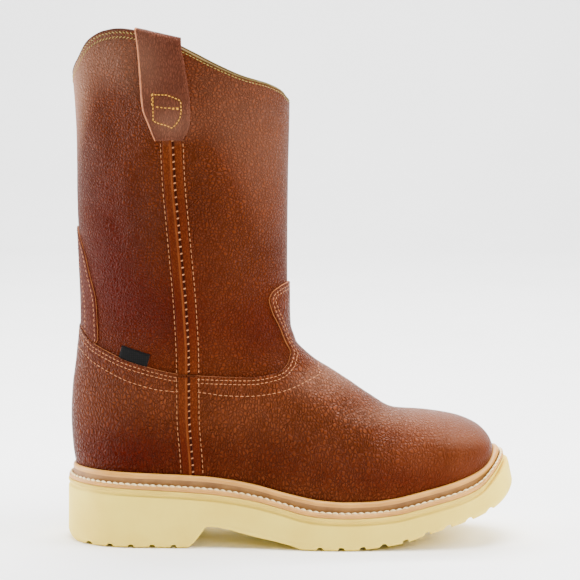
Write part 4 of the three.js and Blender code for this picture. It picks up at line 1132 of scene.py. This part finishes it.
class BootSettings(bpy.types.PropertyGroup):
    """Sizes and colours that a user may change before the pieces are built."""

    grain: FloatProperty(name="Grain", description="Width of one pebble of the shaft's hide",
                         default=2.1 * MM, min=0.8 * MM, max=5 * MM, precision=4,
                         subtype="DISTANCE", unit="LENGTH")
    stitch: FloatProperty(name="Stitch", description="Size of the foot piece's stitches",
                          default=2.6 * MM, min=1 * MM, max=6 * MM, precision=4,
                          subtype="DISTANCE", unit="LENGTH")
    shaft_colour: FloatVectorProperty(name="Shaft", description="Colour of the shaft's hide",
                                      subtype="COLOR_GAMMA", size=3, min=0, max=1,
                                      default=from_hex("#4c1e0a"))
    foot_colour: FloatVectorProperty(name="Foot", description="Colour of the foot's hide",
                                     subtype="COLOR_GAMMA", size=3, min=0, max=1,
                                     default=from_hex("#52220c"))


class BOOT_OT_upper(bpy.types.Operator):
    """The hollow upper, hide outside and lining inside, with its burnished collar edge"""

    bl_idname = "boot.upper"
    bl_label = "Upper"

    def execute(self, context):
        values, quads = rim_net()
        for depth in (0.3, 0.8, 1.6):
            values, quads = split_at(values, quads, depth, 0.05)

        def top(field):
            return edge_round(field, RIM_ROUND, RIM_REACH, 0) - RIM_ROUND

        def bottom(field):
            return -WALL + RIM_ROUND - edge_round(field, RIM_ROUND, RIM_REACH, 0)

        piece = sheet_solid("boot_upper", values, quads, top, bottom,
                            [finish_of("shaft"), finish_of("lining"), finish_of("dark_edge")])
        ride(piece, "shaft_leather", "upper")
        return {"FINISHED"}


class BOOT_OT_collar(bpy.types.Operator):
    """Rolled edge round the collar, with two slanting rows of stitches under it"""

    bl_idname = "boot.collar"
    bl_label = "Collar edge"

    def execute(self, context):
        edge, normals = skin.grid[-1, :-1], unit(skin.normals[-1, :-1] * (1, 1, 0))
        count, sides = len(edge), 10
        turn = np.linspace(0, 2 * math.pi, sides + 1)[:-1]
        reach = WALL / 2 + 0.12
        middle = edge - normals * WALL / 2
        up = np.array([0, 0, 1.0])
        points = (middle[:, None] + normals[:, None] * (np.cos(turn) * reach)[None, :, None]
                  + up * (np.sin(turn) * reach * 0.5)[None, :, None])
        faces = grid_faces(count, sides, closed_rows=True, closed_columns=True)
        # Painted dark round the back half; the lining shows at the edge round the front
        indices = [int(x > PAINTED_TO) for x in middle[:, 0] for _ in range(sides)]
        piece = make_object("collar_rolled_edge", points.reshape(-1, 3), faces,
                            [finish_of("dark_edge"), finish_of("front_edge")], indices)
        ride(piece, "shaft_leather")

        values, quads = rim_net()
        runs = []
        for depth, slant in ((2.2, 0.6), (5.4, -0.6)):
            line = contour(values, quads, depth)[0]
            line = np.roll(line, -int(np.argmax(line[:, 0])), axis=0)
            line = line[line[:, 0] < BACK_ROWS_TO]
            runs.append(thread(line[:, :3], line[:, 3:6], pitch=2.6, length=1.9, radius=0.32,
                               lift=0.26, slant=slant))
        ride(stitches("collar_stitches_back", runs, finish_of("olive_thread")))
        line = contour(values, quads, 1.5)[0]
        line = np.roll(line, -int(np.argmin(line[:, 0])), axis=0)
        line = line[line[:, 0] > FRONT_ROW_FROM]
        run = thread(line[:, :3], line[:, 3:6], pitch=2.6, length=1.8, radius=0.26, lift=0.22)
        ride(stitches("collar_stitches_front", [run], finish_of("olive_thread")))
        return {"FINISHED"}


class BOOT_OT_foot_piece(bpy.types.Operator):
    """The foot piece with heel counter and front tab, and its three rows of stitches"""

    bl_idname = "boot.foot_piece"
    bl_label = "Foot piece"

    def execute(self, context):
        rows = (2.2, 4.8)
        loops = (0.3, 0.8, 1.5, 2.2, 2.9, 4.1, 4.8, 5.5)
        values, quads = skin.net(vamp_field())
        values, quads = trimmed(values, quads, loops)

        def top(field):
            return GAP + edge_round(field, VAMP_THICK, 0.9) - thread_dips(field, rows)

        piece = sheet_solid("foot_piece", values, quads, top, lambda field: 0.08,
                            [finish_of("foot"), finish_of("cut_edge"), finish_of("cut_edge")])
        ride(piece, "vamp_leather", "vamp")

        size = context.scene.boot.stitch / MM
        runs = []
        for row in rows:
            for line in contour(values, quads, row)[:1]:
                places = line[:, :3] + line[:, 3:6] * (VAMP_FACE - 0.2)
                runs.append(thread(places, line[:, 3:6], pitch=size * 1.2, length=size * 0.85,
                                   radius=0.24, lift=0.24))
        points = skin.grid.reshape(-1, 3)
        low = skin.true_field(curve(LOW_ROW, "x", "z")(points[:, 0]) - points[:, 2])
        values, quads = skin.net(np.where(points[:, 0] > LOW_ROW_TO, FAR, low))
        for line in contour(values, quads, 0)[:1]:
            places = line[:, :3] + line[:, 3:6] * VAMP_FACE
            runs.append(thread(places, line[:, 3:6], pitch=size * 1.4, length=size * 0.95,
                               radius=0.24, lift=0.2))
        ride(stitches("foot_piece_stitches", runs, finish_of("tan_thread")))
        return {"FINISHED"}


class BOOT_OT_back_stay(bpy.types.Operator):
    """Tongue up the back of the shaft, with a row of stitches inside its edge"""

    bl_idname = "boot.back_stay"
    bl_label = "Back stay"

    def execute(self, context):
        values, quads = skin.net(stay_field(0.3))
        values, quads = trimmed(values, quads, (0.3, 0.8, 1.6, 2.2, 2.8))

        def top(field):
            return GAP + edge_round(field, TRIM_THICK, 0.8, 0.4) - thread_dips(field, (2.2,), 0.15)

        piece = sheet_solid("back_stay_tongue", values, quads, top, lambda field: 0.08,
                            [finish_of("strap"), finish_of("cut_edge"), finish_of("cut_edge")])
        ride(piece, "trim_leather", "back_stay")

        values, quads = skin.net(stay_tongue())
        runs = []
        for inset, lowest in ((2.2, 148), (11.5, 150)):
            line = contour(values, quads, inset)[0]
            # The rows stop where the foot piece begins, which is highest at the very back
            line = line[line[:, 2] > lowest - 14 * smooth(-146, -130, line[:, 0])]
            cuts = np.flatnonzero(np.linalg.norm(np.diff(line[:, :3], axis=0), axis=1) > 12) + 1
            for part in np.split(line, cuts):
                if len(part) > 6:
                    places = part[:, :3] + part[:, 3:6] * (GAP + TRIM_THICK - 0.1)
                    runs.append(thread(places, part[:, 3:6], pitch=3.4, length=2.2,
                                       radius=0.24, lift=0.26))
        ride(stitches("back_stay_stitches", runs, finish_of("tan_thread")))
        return {"FINISHED"}


class BOOT_OT_side_seams(bpy.types.Operator):
    """Side seams: two strips with an open gap between, cross threads and rows of stitches"""

    bl_idname = "boot.side_seams"
    bl_label = "Side seams"

    def execute(self, context):
        parts = (("shaft", 119.0, SEAM_TOP + 3, 0.0), ("vamp", 49.6, 117.2, VAMP_FACE))
        slots = {"shaft": "shaft_leather", "vamp": "vamp_leather"}
        behind = np.array([-SEAM_BEHIND, -7.2, -6.8, -6, -5, -4, -3.2, -2.7, -2.3, -1.9, -1.4,
                           -1.0, -0.8])
        ahead = np.array([0.5, 0.7, 0.9, 1.5, 2.4, 3.2, 4.0, 4.8, 5.2, 5.5, SEAM_AHEAD])
        for side, word in ((-1, "outer"), (1, "inner")):
            for part, low, high, base in parts:
                zs = np.linspace(low, high, max(12, int((high - low) / 1.6)))
                strips = []
                for edge, across in (("back", behind), ("front", ahead)):
                    ends = np.minimum(across - across[0], across[-1] - across)
                    rise = edge_round(ends, TRIM_THICK, 0.8, 0.3)
                    if edge == "back":
                        # The folded edge beside the gap stands up as a ridge
                        rise = rise + 0.45 * np.exp(-((across + 2.4) / 0.8) ** 2)
                    heights = GAP + np.broadcast_to(rise, (len(zs), len(across)))
                    # The ridge's faces get the fold's finish, painted lighter as a highlight on the
                    # fold
                    ridge = (across > -2.8) & (across < -1.8)
                    band = [int(on_ridge) for on_ridge in ridge] + [0] * len(across)
                    indices = band * (len(zs) - 1) + [0, 0]
                    strips.append(strip_on(f"side_seam_{part}_{word}_{edge}", side, zs, across,
                                           heights, base,
                                           [finish_of("seam"), finish_of("seam_ridge_highlight")], indices))
                ride(strips[0], slots[part], f"seam_{part}_{word}")
                ride(strips[1], slots[part])
                across = np.array([-1.2, -0.4, 0.4, 1.0])
                floor = strip_on(f"side_seam_{part}_{word}_gap", side, zs, across,
                                 np.full((len(zs), 4), 0.22), base, [finish_of("dark_gap")])
                ride(floor, slots[part])
                runs = []
                for z in np.arange(low + 2, high - 1, LADDER_PITCH):
                    x = seam_x(z)
                    places, normals = laid_line(side, np.array([x - 1.5, x + 1.2]),
                                                np.array([z - 0.5, z + 0.5]), base + 0.7, 8)
                    runs.append(thread(places, normals, pitch=2.8, length=2.6, radius=0.5,
                                       lift=0.35))
                ride(stitches(f"side_seam_{part}_{word}_ladder", runs, finish_of("tan_thread")))
                runs = []
                for shift in (-SEAM_BEHIND - 1.0, SEAM_AHEAD + 0.9):
                    places, normals = laid_line(side, seam_x(zs) + shift, zs, base + 0.12, 400)
                    runs.append(thread(places, normals, pitch=3.7, length=2.4, radius=0.26,
                                       lift=0.26))
                ride(stitches(f"side_seam_{part}_{word}_stitches", runs, finish_of("tan_thread")))
        return {"FINISHED"}


class BOOT_OT_pull_straps(bpy.types.Operator):
    """Pull straps folded over the collar, each with a stitched box"""

    bl_idname = "boot.pull_straps"
    bl_label = "Pull straps"

    def execute(self, context):
        back, front = curve(STRAP_EDGES, "z", "back"), curve(STRAP_EDGES, "z", "front")
        for side, word in ((-1, "outer"), (1, "inner")):
            half = COLUMNS // 2
            rim = skin.grid[-1, :half + 1] if side < 0 else skin.grid[-1, half:][::-1]
            rim_normals = skin.normals[-1, :half + 1] if side < 0 else skin.normals[-1, half:][::-1]
            share = np.linspace(0, 1, 25)
            set_back = STRAP_SET_BACK if side > 0 else 0
            xs_top = mix(back(STRAP_FOLD[0]), front(STRAP_FOLD[1]) - set_back, share)
            top_z = np.interp(xs_top, rim[:, 0], rim[:, 2])
            crest = np.stack([np.interp(xs_top, rim[:, 0], rim[:, k]) for k in range(3)], 1)
            out = unit(np.stack([np.interp(xs_top, rim[:, 0], rim_normals[:, k])
                                 for k in range(3)], 1) * (1, 1, 0))
            rise = np.linspace(0, 1, 46)
            zs = mix(STRAP_FOOT, top_z[None, :] - 0.6, rise[:, None])
            xs = mix(back(zs), front(zs), share[None, :])
            xs = xs + (xs_top - xs[-1]) * rise[:, None] ** 3
            spots, normals = skin.find(side, xs, zs)
            ends = np.minimum(share, 1 - share)[None, :] * 32
            ends = np.minimum(np.broadcast_to(ends, xs.shape), zs - STRAP_FOOT)
            thick = edge_round(ends, STRAP_THICK, 1.2, 0.45)
            crown = 0.5 * smooth(-26, -2, zs - top_z[None, :])
            pushes = {
                "face": GAP + thick + crown * 0.6,
                "back": 0.1 + crown * 0.35,
                "inside_back": -(WALL + 0.1 + crown * 0.2),
                "inside_face": -(WALL + GAP + thick * 0.85 + crown * 0.4),
            }
            legs = {leg: spots + normals * push[..., None] for leg, push in pushes.items()}
            middle = crest - out * WALL / 2
            turn = np.linspace(0, math.pi, 13)[1:-1]

            # The fold is a straight crease across, higher over the collar at its front
            lift = mix(*STRAP_CREST, share) - middle[:, 2]

            def fold(reach, rise):
                return (middle[None] + out[None] * (np.cos(turn) * reach)[:, None, None]
                        + np.array([0, 0, 1.0]) * np.sin(turn)[:, None, None] * rise[None, :, None])

            full = WALL / 2 + GAP + STRAP_THICK + 0.3
            outside = np.concatenate([legs["face"], fold(full, lift), legs["inside_face"][::-1]])
            lining = np.concatenate([legs["back"], fold(full - STRAP_THICK, lift - 1.5),
                                     legs["inside_back"][::-1]])
            rows, columns = outside.shape[:2]
            count = rows * columns
            faces = grid_faces(rows, columns)
            indices = [0] * len(faces)
            faces += [tuple(i + count for i in face[::-1]) for face in grid_faces(rows, columns)]
            loop = grid_loop(rows, columns)
            faces += [(j, i, i + count, j + count) for i, j in zip(loop, loop[1:] + loop[:1])]
            # The back edge is cut so that its pale fibres show from the side
            for r in range(rows - 1):
                indices[r * (columns - 1)] = 1
            indices += [0] * (len(faces) - len(indices))
            indices[-len(loop):] = [1] * len(loop)
            points = np.concatenate([outside, lining]).reshape(-1, 3)
            if side > 0:
                faces = [face[::-1] for face in faces]
            piece = make_object(f"pull_strap_loop_{word}", points, faces,
                                [finish_of("strap"), finish_of("cut_edge")], indices, 55)
            ride(piece, "trim_leather", f"pull_strap_{word}")

            runs = []
            for line in STRAP_STITCHES:
                xs_line, zs_line = np.array(line, float).T
                places, up = laid_line(side, xs_line, zs_line, GAP + STRAP_THICK + 0.02, 120)
                runs.append(thread(places, up, pitch=2.3, length=1.6, radius=0.34, lift=0.28))
            ride(stitches(f"pull_strap_stitches_{word}", runs, finish_of("gold_thread")))
        return {"FINISHED"}


class BOOT_OT_label(bpy.types.Operator):
    """Small folded tape beside the heel, left bare"""

    bl_idname = "boot.label"
    bl_label = "Label"

    def execute(self, context):
        wide = np.linspace(-LABEL["long"] / 2, LABEL["long"] / 2, 25)
        tall = np.linspace(-LABEL["high"], LABEL["high"] / 2, 17)
        u, v = np.meshgrid(wide, tall)
        tilt = LABEL["tilt"]
        x = LABEL["x"] + u * math.cos(tilt) - v * math.sin(tilt)
        z = LABEL["z"] + u * math.sin(tilt) + v * math.cos(tilt)
        spots, normals = skin.find(-1, x, z)
        ends = np.minimum(LABEL["long"] / 2 - np.abs(u), LABEL["high"] / 2 - v)
        # A folded edge along the top, as a faint rib
        lift = GAP * 0.4 + edge_round(ends, LABEL_THICK, 0.6, 0.4)
        lift = lift + 0.12 * np.exp(-((LABEL["high"] / 2 - v - 1.4) / 0.35) ** 2)
        rows, columns = u.shape
        face = spots + normals * lift[..., None]
        under = spots + normals * 0.05
        count = rows * columns
        faces = grid_faces(rows, columns)
        faces += [tuple(i + count for i in f[::-1]) for f in grid_faces(rows, columns)]
        loop = grid_loop(rows, columns)
        faces += [(j, i, i + count, j + count) for i, j in zip(loop, loop[1:] + loop[:1])]
        points = np.concatenate([face, under]).reshape(-1, 3)
        piece = make_object("label_tape", points, faces, [finish_of("label")])
        ride(piece, "label_cloth", "label")
        return {"FINISHED"}


class BOOT_OT_welt(bpy.types.Operator):
    """Welt all round, with its rolled bead, groove and stitched ledge"""

    bl_idname = "boot.welt"
    bl_label = "Welt"

    def execute(self, context):
        def slim(x):
            return np.minimum(1, (welt_margin(x) - FORM_FACE - 2.6) / BEAD_WIDE)

        def edge(rise):
            return lambda x, _: welt_z(x) + rise

        levels = [level(1.0, edge(0)), level(1.0, over_feather(2.4))]
        for angle in np.linspace(math.pi * 0.95, -0.15 * math.pi, 13):
            reach = BEAD_RADIUS + 0.25 + BEAD_RADIUS * math.cos(angle)
            rise = BEAD_HIGH - BEAD_RADIUS + 0.3 + BEAD_RADIUS * math.sin(angle)
            levels.append(level(lambda x, r=reach: FORM_FACE - 0.5 + r * slim(x),
                                over_feather(rise)))
        # The groove between the bead and the ledge: how far out, and how high over the ledge
        for reach, rise in ((4.3, -1.0), (4.7, -1.3), (5.2, -1.1), (5.5, -0.1)):
            levels.append(level(lambda x, r=reach: FORM_FACE + r * slim(x),
                                lambda p, _, r=rise: welt_z(p) + WELT_EDGE + r))
        levels.append(level(lambda x: np.minimum(FORM_FACE + 7.2 * slim(x), welt_margin(x) - 1.0),
                            lambda p, _: welt_z(p) + WELT_EDGE + 0.15))
        levels.append(level(lambda x: welt_margin(x) - 0.7, lambda p, _: welt_z(p) + WELT_EDGE))
        # The welt's side, with a fine line round it: how far in from the margin, and how high
        for less, rise in ((0.2, WELT_EDGE - 0.35), (0, WELT_EDGE - 0.9), (0.15, 1.35),
                           (0.15, 1.15), (0, 0.9), (0.1, 0.3), (0.5, 0)):
            levels.append(level(lambda x, d=less: welt_margin(x) - d, edge(rise)))
        # Faces run level by level: the bead's underside and the groove beside the stitches are
        # painted darker as their shade
        dark = range(14, 19)
        piece = stacked("welt_strip", levels, [finish_of("welt"), finish_of("welt_groove_shade")],
                        ring=True, dark=dark)
        ride(piece, "welt_leather", "welt")

        line = level(lambda x: np.minimum(FORM_FACE + 6.6 * slim(x), welt_margin(x) - 1.3),
                     lambda p, _: welt_z(p) + WELT_EDGE + 0.25)
        line = np.concatenate([line, line[:1]])
        up = unit(np.column_stack([outward * 0.35, np.ones(len(outward))]))
        up = np.concatenate([up, up[:1]])
        run = thread(line, up, pitch=4.3, length=4.2, radius=0.85, lift=0.55, slant=0.35)
        ride(stitches("welt_stitches", [run], finish_of("white_thread")))
        return {"FINISHED"}


class BOOT_OT_sole(bpy.types.Operator):
    """Midsole lip and one-piece outsole with heel, waist and cross grooves"""

    bl_idname = "boot.sole"
    bl_label = "Sole"

    def execute(self, context):
        def under(drop):
            return lambda x, _: welt_z(x) - drop

        # The midsole's rounded lip: how far out from the margin, and how far down
        levels = [level(lambda x, d=reach: welt_margin(x) + d, under(drop)) for reach, drop in (
            (-0.9, LIP_THICK + GAP), (-0.1, LIP_THICK + GAP), (0.35, LIP_THICK + GAP - 0.35),
            (0.55, LIP_THICK / 2 + GAP), (0.35, GAP + 0.35), (-0.1, GAP), (-0.9, GAP * 0.4))]
        piece = stacked("midsole_layer", levels, [finish_of("midsole")])
        ride(piece, "sole_rubber", "midsole")

        def groove(x):
            near = np.min(np.abs(x[:, None] - np.array(GROOVES)[None]), axis=1)
            return GROOVE_DEEP * smooth(GROOVE_MOUTH, GROOVE_FLOOR, near)

        def top(drop):
            return lambda x, _: welt_z(x) - LIP_THICK - GAP - drop

        def above(rise):
            def height(x, _):
                floor = bottom_z(x)
                return np.maximum(floor + rise, floor + groove(x) + rise * 0.12)
            return height

        def out(share, less):
            return lambda x: welt_margin(x) + sole_flare(x) * share - less

        # From the midsole down to the bottom: the share of the flare, how far in, how far down
        levels = [level(out(share, less), top(drop)) for share, less, drop in (
            (0, 2.2, -0.2), (0, 1.3, 0.1), (0, 1.1, 0.8), (0, 1.1, 1.6), (0.1, 0.75, 2.1),
            (0.35, 0.2, 2.6), (0.5, 0, 3.4))]
        for step in (0.2, 0.4, 0.6, 0.8):
            levels.append(level(out(mix(0.55, 1, step), 0),
                                lambda x, _, s=step: mix(welt_z(x) - LIP_THICK - 3.9,
                                                         bottom_z(x) + 4.6, s)))
        # The rounded lower edge, which the grooves cut: how far in, and how high
        levels += [level(out(1, less), above(rise)) for less, rise in (
            (0, 4.4), (0.05, 3.2), (0.35, 2.1), (0.9, 1.1), (1.6, 0.45), (2.5, 0.0))]
        levels.reverse()
        piece = stacked("sole_unit", levels, [finish_of("sole")], sharp=55)
        ride(piece, "sole_rubber", "outsole")
        return {"FINISHED"}


class BOOT_OT_insole(bpy.types.Operator):
    """Leather sock that covers the board inside"""

    bl_idname = "boot.insole"
    bl_label = "Insole"

    def execute(self, context):
        # How far in from the wall, and how high over the feather line
        levels = [level(-WALL - inset, over_feather(rise)) for inset, rise in (
            (1.0, -1.6), (0.7, -1.0), (0.6, INSOLE_THICK - 0.8), (1.2, INSOLE_THICK - 0.1),
            (3, INSOLE_THICK))]
        piece = stacked("sock_insole", levels, [finish_of("insole")])
        ride(piece, "insole_leather", "insole")
        return {"FINISHED"}


class BOOT_OT_stage(bpy.types.Operator):
    """Pale floor, soft boxes at both sides and above, and the camera at the photo's angle"""

    bl_idname = "boot.stage"
    bl_label = "Stage"

    def execute(self, context):
        scene = context.scene
        # A sheet of paper that lies on the floor and sweeps up behind
        turns = np.linspace(0, math.pi / 2, 13)
        ys = [-3.5, *(2.2 + 0.6 * np.sin(turns)), 2.8]
        zs = [0.0, *(0.6 - 0.6 * np.cos(turns)), 3.2]
        points = [(x, y, z) for y, z in zip(ys, zs) for x in (-4.0, 4.0)]
        mesh = bpy.data.meshes.new("floor")
        mesh.from_pydata(points, [], [(2 * i, 2 * i + 1, 2 * i + 3, 2 * i + 2)
                                      for i in range(len(ys) - 1)])
        mesh.materials.append(flat_finish("matt_white_paper", ("#ffffff", "#fbfbfb"), 200, 2,
                                          0.01, 0.9))
        mesh.shade_smooth()
        floor = bpy.data.objects.new("floor", mesh)
        scene.collection.objects.link(floor)

        world = bpy.data.worlds.new("studio")
        world.use_nodes = True
        background = world.node_tree.nodes["Background"]
        background.inputs["Color"].default_value = linear("#ffffff")
        background.inputs["Strength"].default_value = 0.16
        scene.world = world

        boot, paper = Vector((0, 0, 0.16)), Vector((0, 2.6, 0.3))
        boxes = (
            ("softbox_heel_side", (-1.0, 0.1, 0.5), boot, 0.5, 0.9, 22),
            ("softbox_toe_side", (1.05, -0.25, 0.85), boot, 0.6, 0.8, 24),
            ("softbox_above", (0.15, -0.15, 1.4), boot, 1.0, 0.7, 40),
            ("softbox_behind", (0, 0.9, 1.9), boot, 2.2, 0.6, 60),
            ("fill_front", (0.7, -1.6, 1.0), boot, 0.8, 0.7, 9),
            ("backdrop_light", (0, 1.3, 2.2), paper, 2.6, 0.6, 130),
        )
        for name, place, target, wide, high, power in boxes:
            light = bpy.data.lights.new(name, "AREA")
            light.shape = "RECTANGLE"
            light.size, light.size_y, light.energy = wide, high, power
            lamp = bpy.data.objects.new(name, light)
            lamp.location = place
            lamp.rotation_euler = (target - Vector(place)).to_track_quat("-Z", "Y").to_euler()
            scene.collection.objects.link(lamp)

        camera = bpy.data.cameras.new("camera")
        camera.lens, camera.sensor_width = 135.9, 36
        eye = bpy.data.objects.new("camera", camera)
        eye.location = (0, -1.5, 0.33)
        aim = Vector((0, 0, 0.1715)) - eye.location
        eye.rotation_euler = aim.to_track_quat("-Z", "Y").to_euler()
        scene.collection.objects.link(eye)
        scene.camera = eye
        return {"FINISHED"}


OPERATORS = (BOOT_OT_upper, BOOT_OT_collar, BOOT_OT_foot_piece, BOOT_OT_back_stay,
             BOOT_OT_side_seams, BOOT_OT_pull_straps, BOOT_OT_label, BOOT_OT_welt,
             BOOT_OT_sole, BOOT_OT_insole, BOOT_OT_stage)


class BOOT_PT_panel(bpy.types.Panel):
    """Sizes and colours, and one button for each piece"""

    bl_label = "Roper Work Boot"
    bl_space_type = "VIEW_3D"
    bl_region_type = "UI"
    bl_category = "Boot"

    def draw(self, context):
        for name in ("grain", "stitch", "shaft_colour", "foot_colour"):
            self.layout.prop(context.scene.boot, name)
        for operator in OPERATORS:
            self.layout.operator(operator.bl_idname)


CLASSES = (BootSettings, *OPERATORS, BOOT_PT_panel)


def register():
    for item in CLASSES:
        bpy.utils.register_class(item)
    bpy.types.Scene.boot = PointerProperty(type=BootSettings)


def unregister():
    del bpy.types.Scene.boot
    for item in reversed(CLASSES):
        bpy.utils.unregister_class(item)


def main():
    register()
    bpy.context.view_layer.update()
    for operator in OPERATORS:
        group, name = operator.bl_idname.split(".")
        getattr(getattr(bpy.ops, group), name)()


if __name__ == "__main__":
    main()
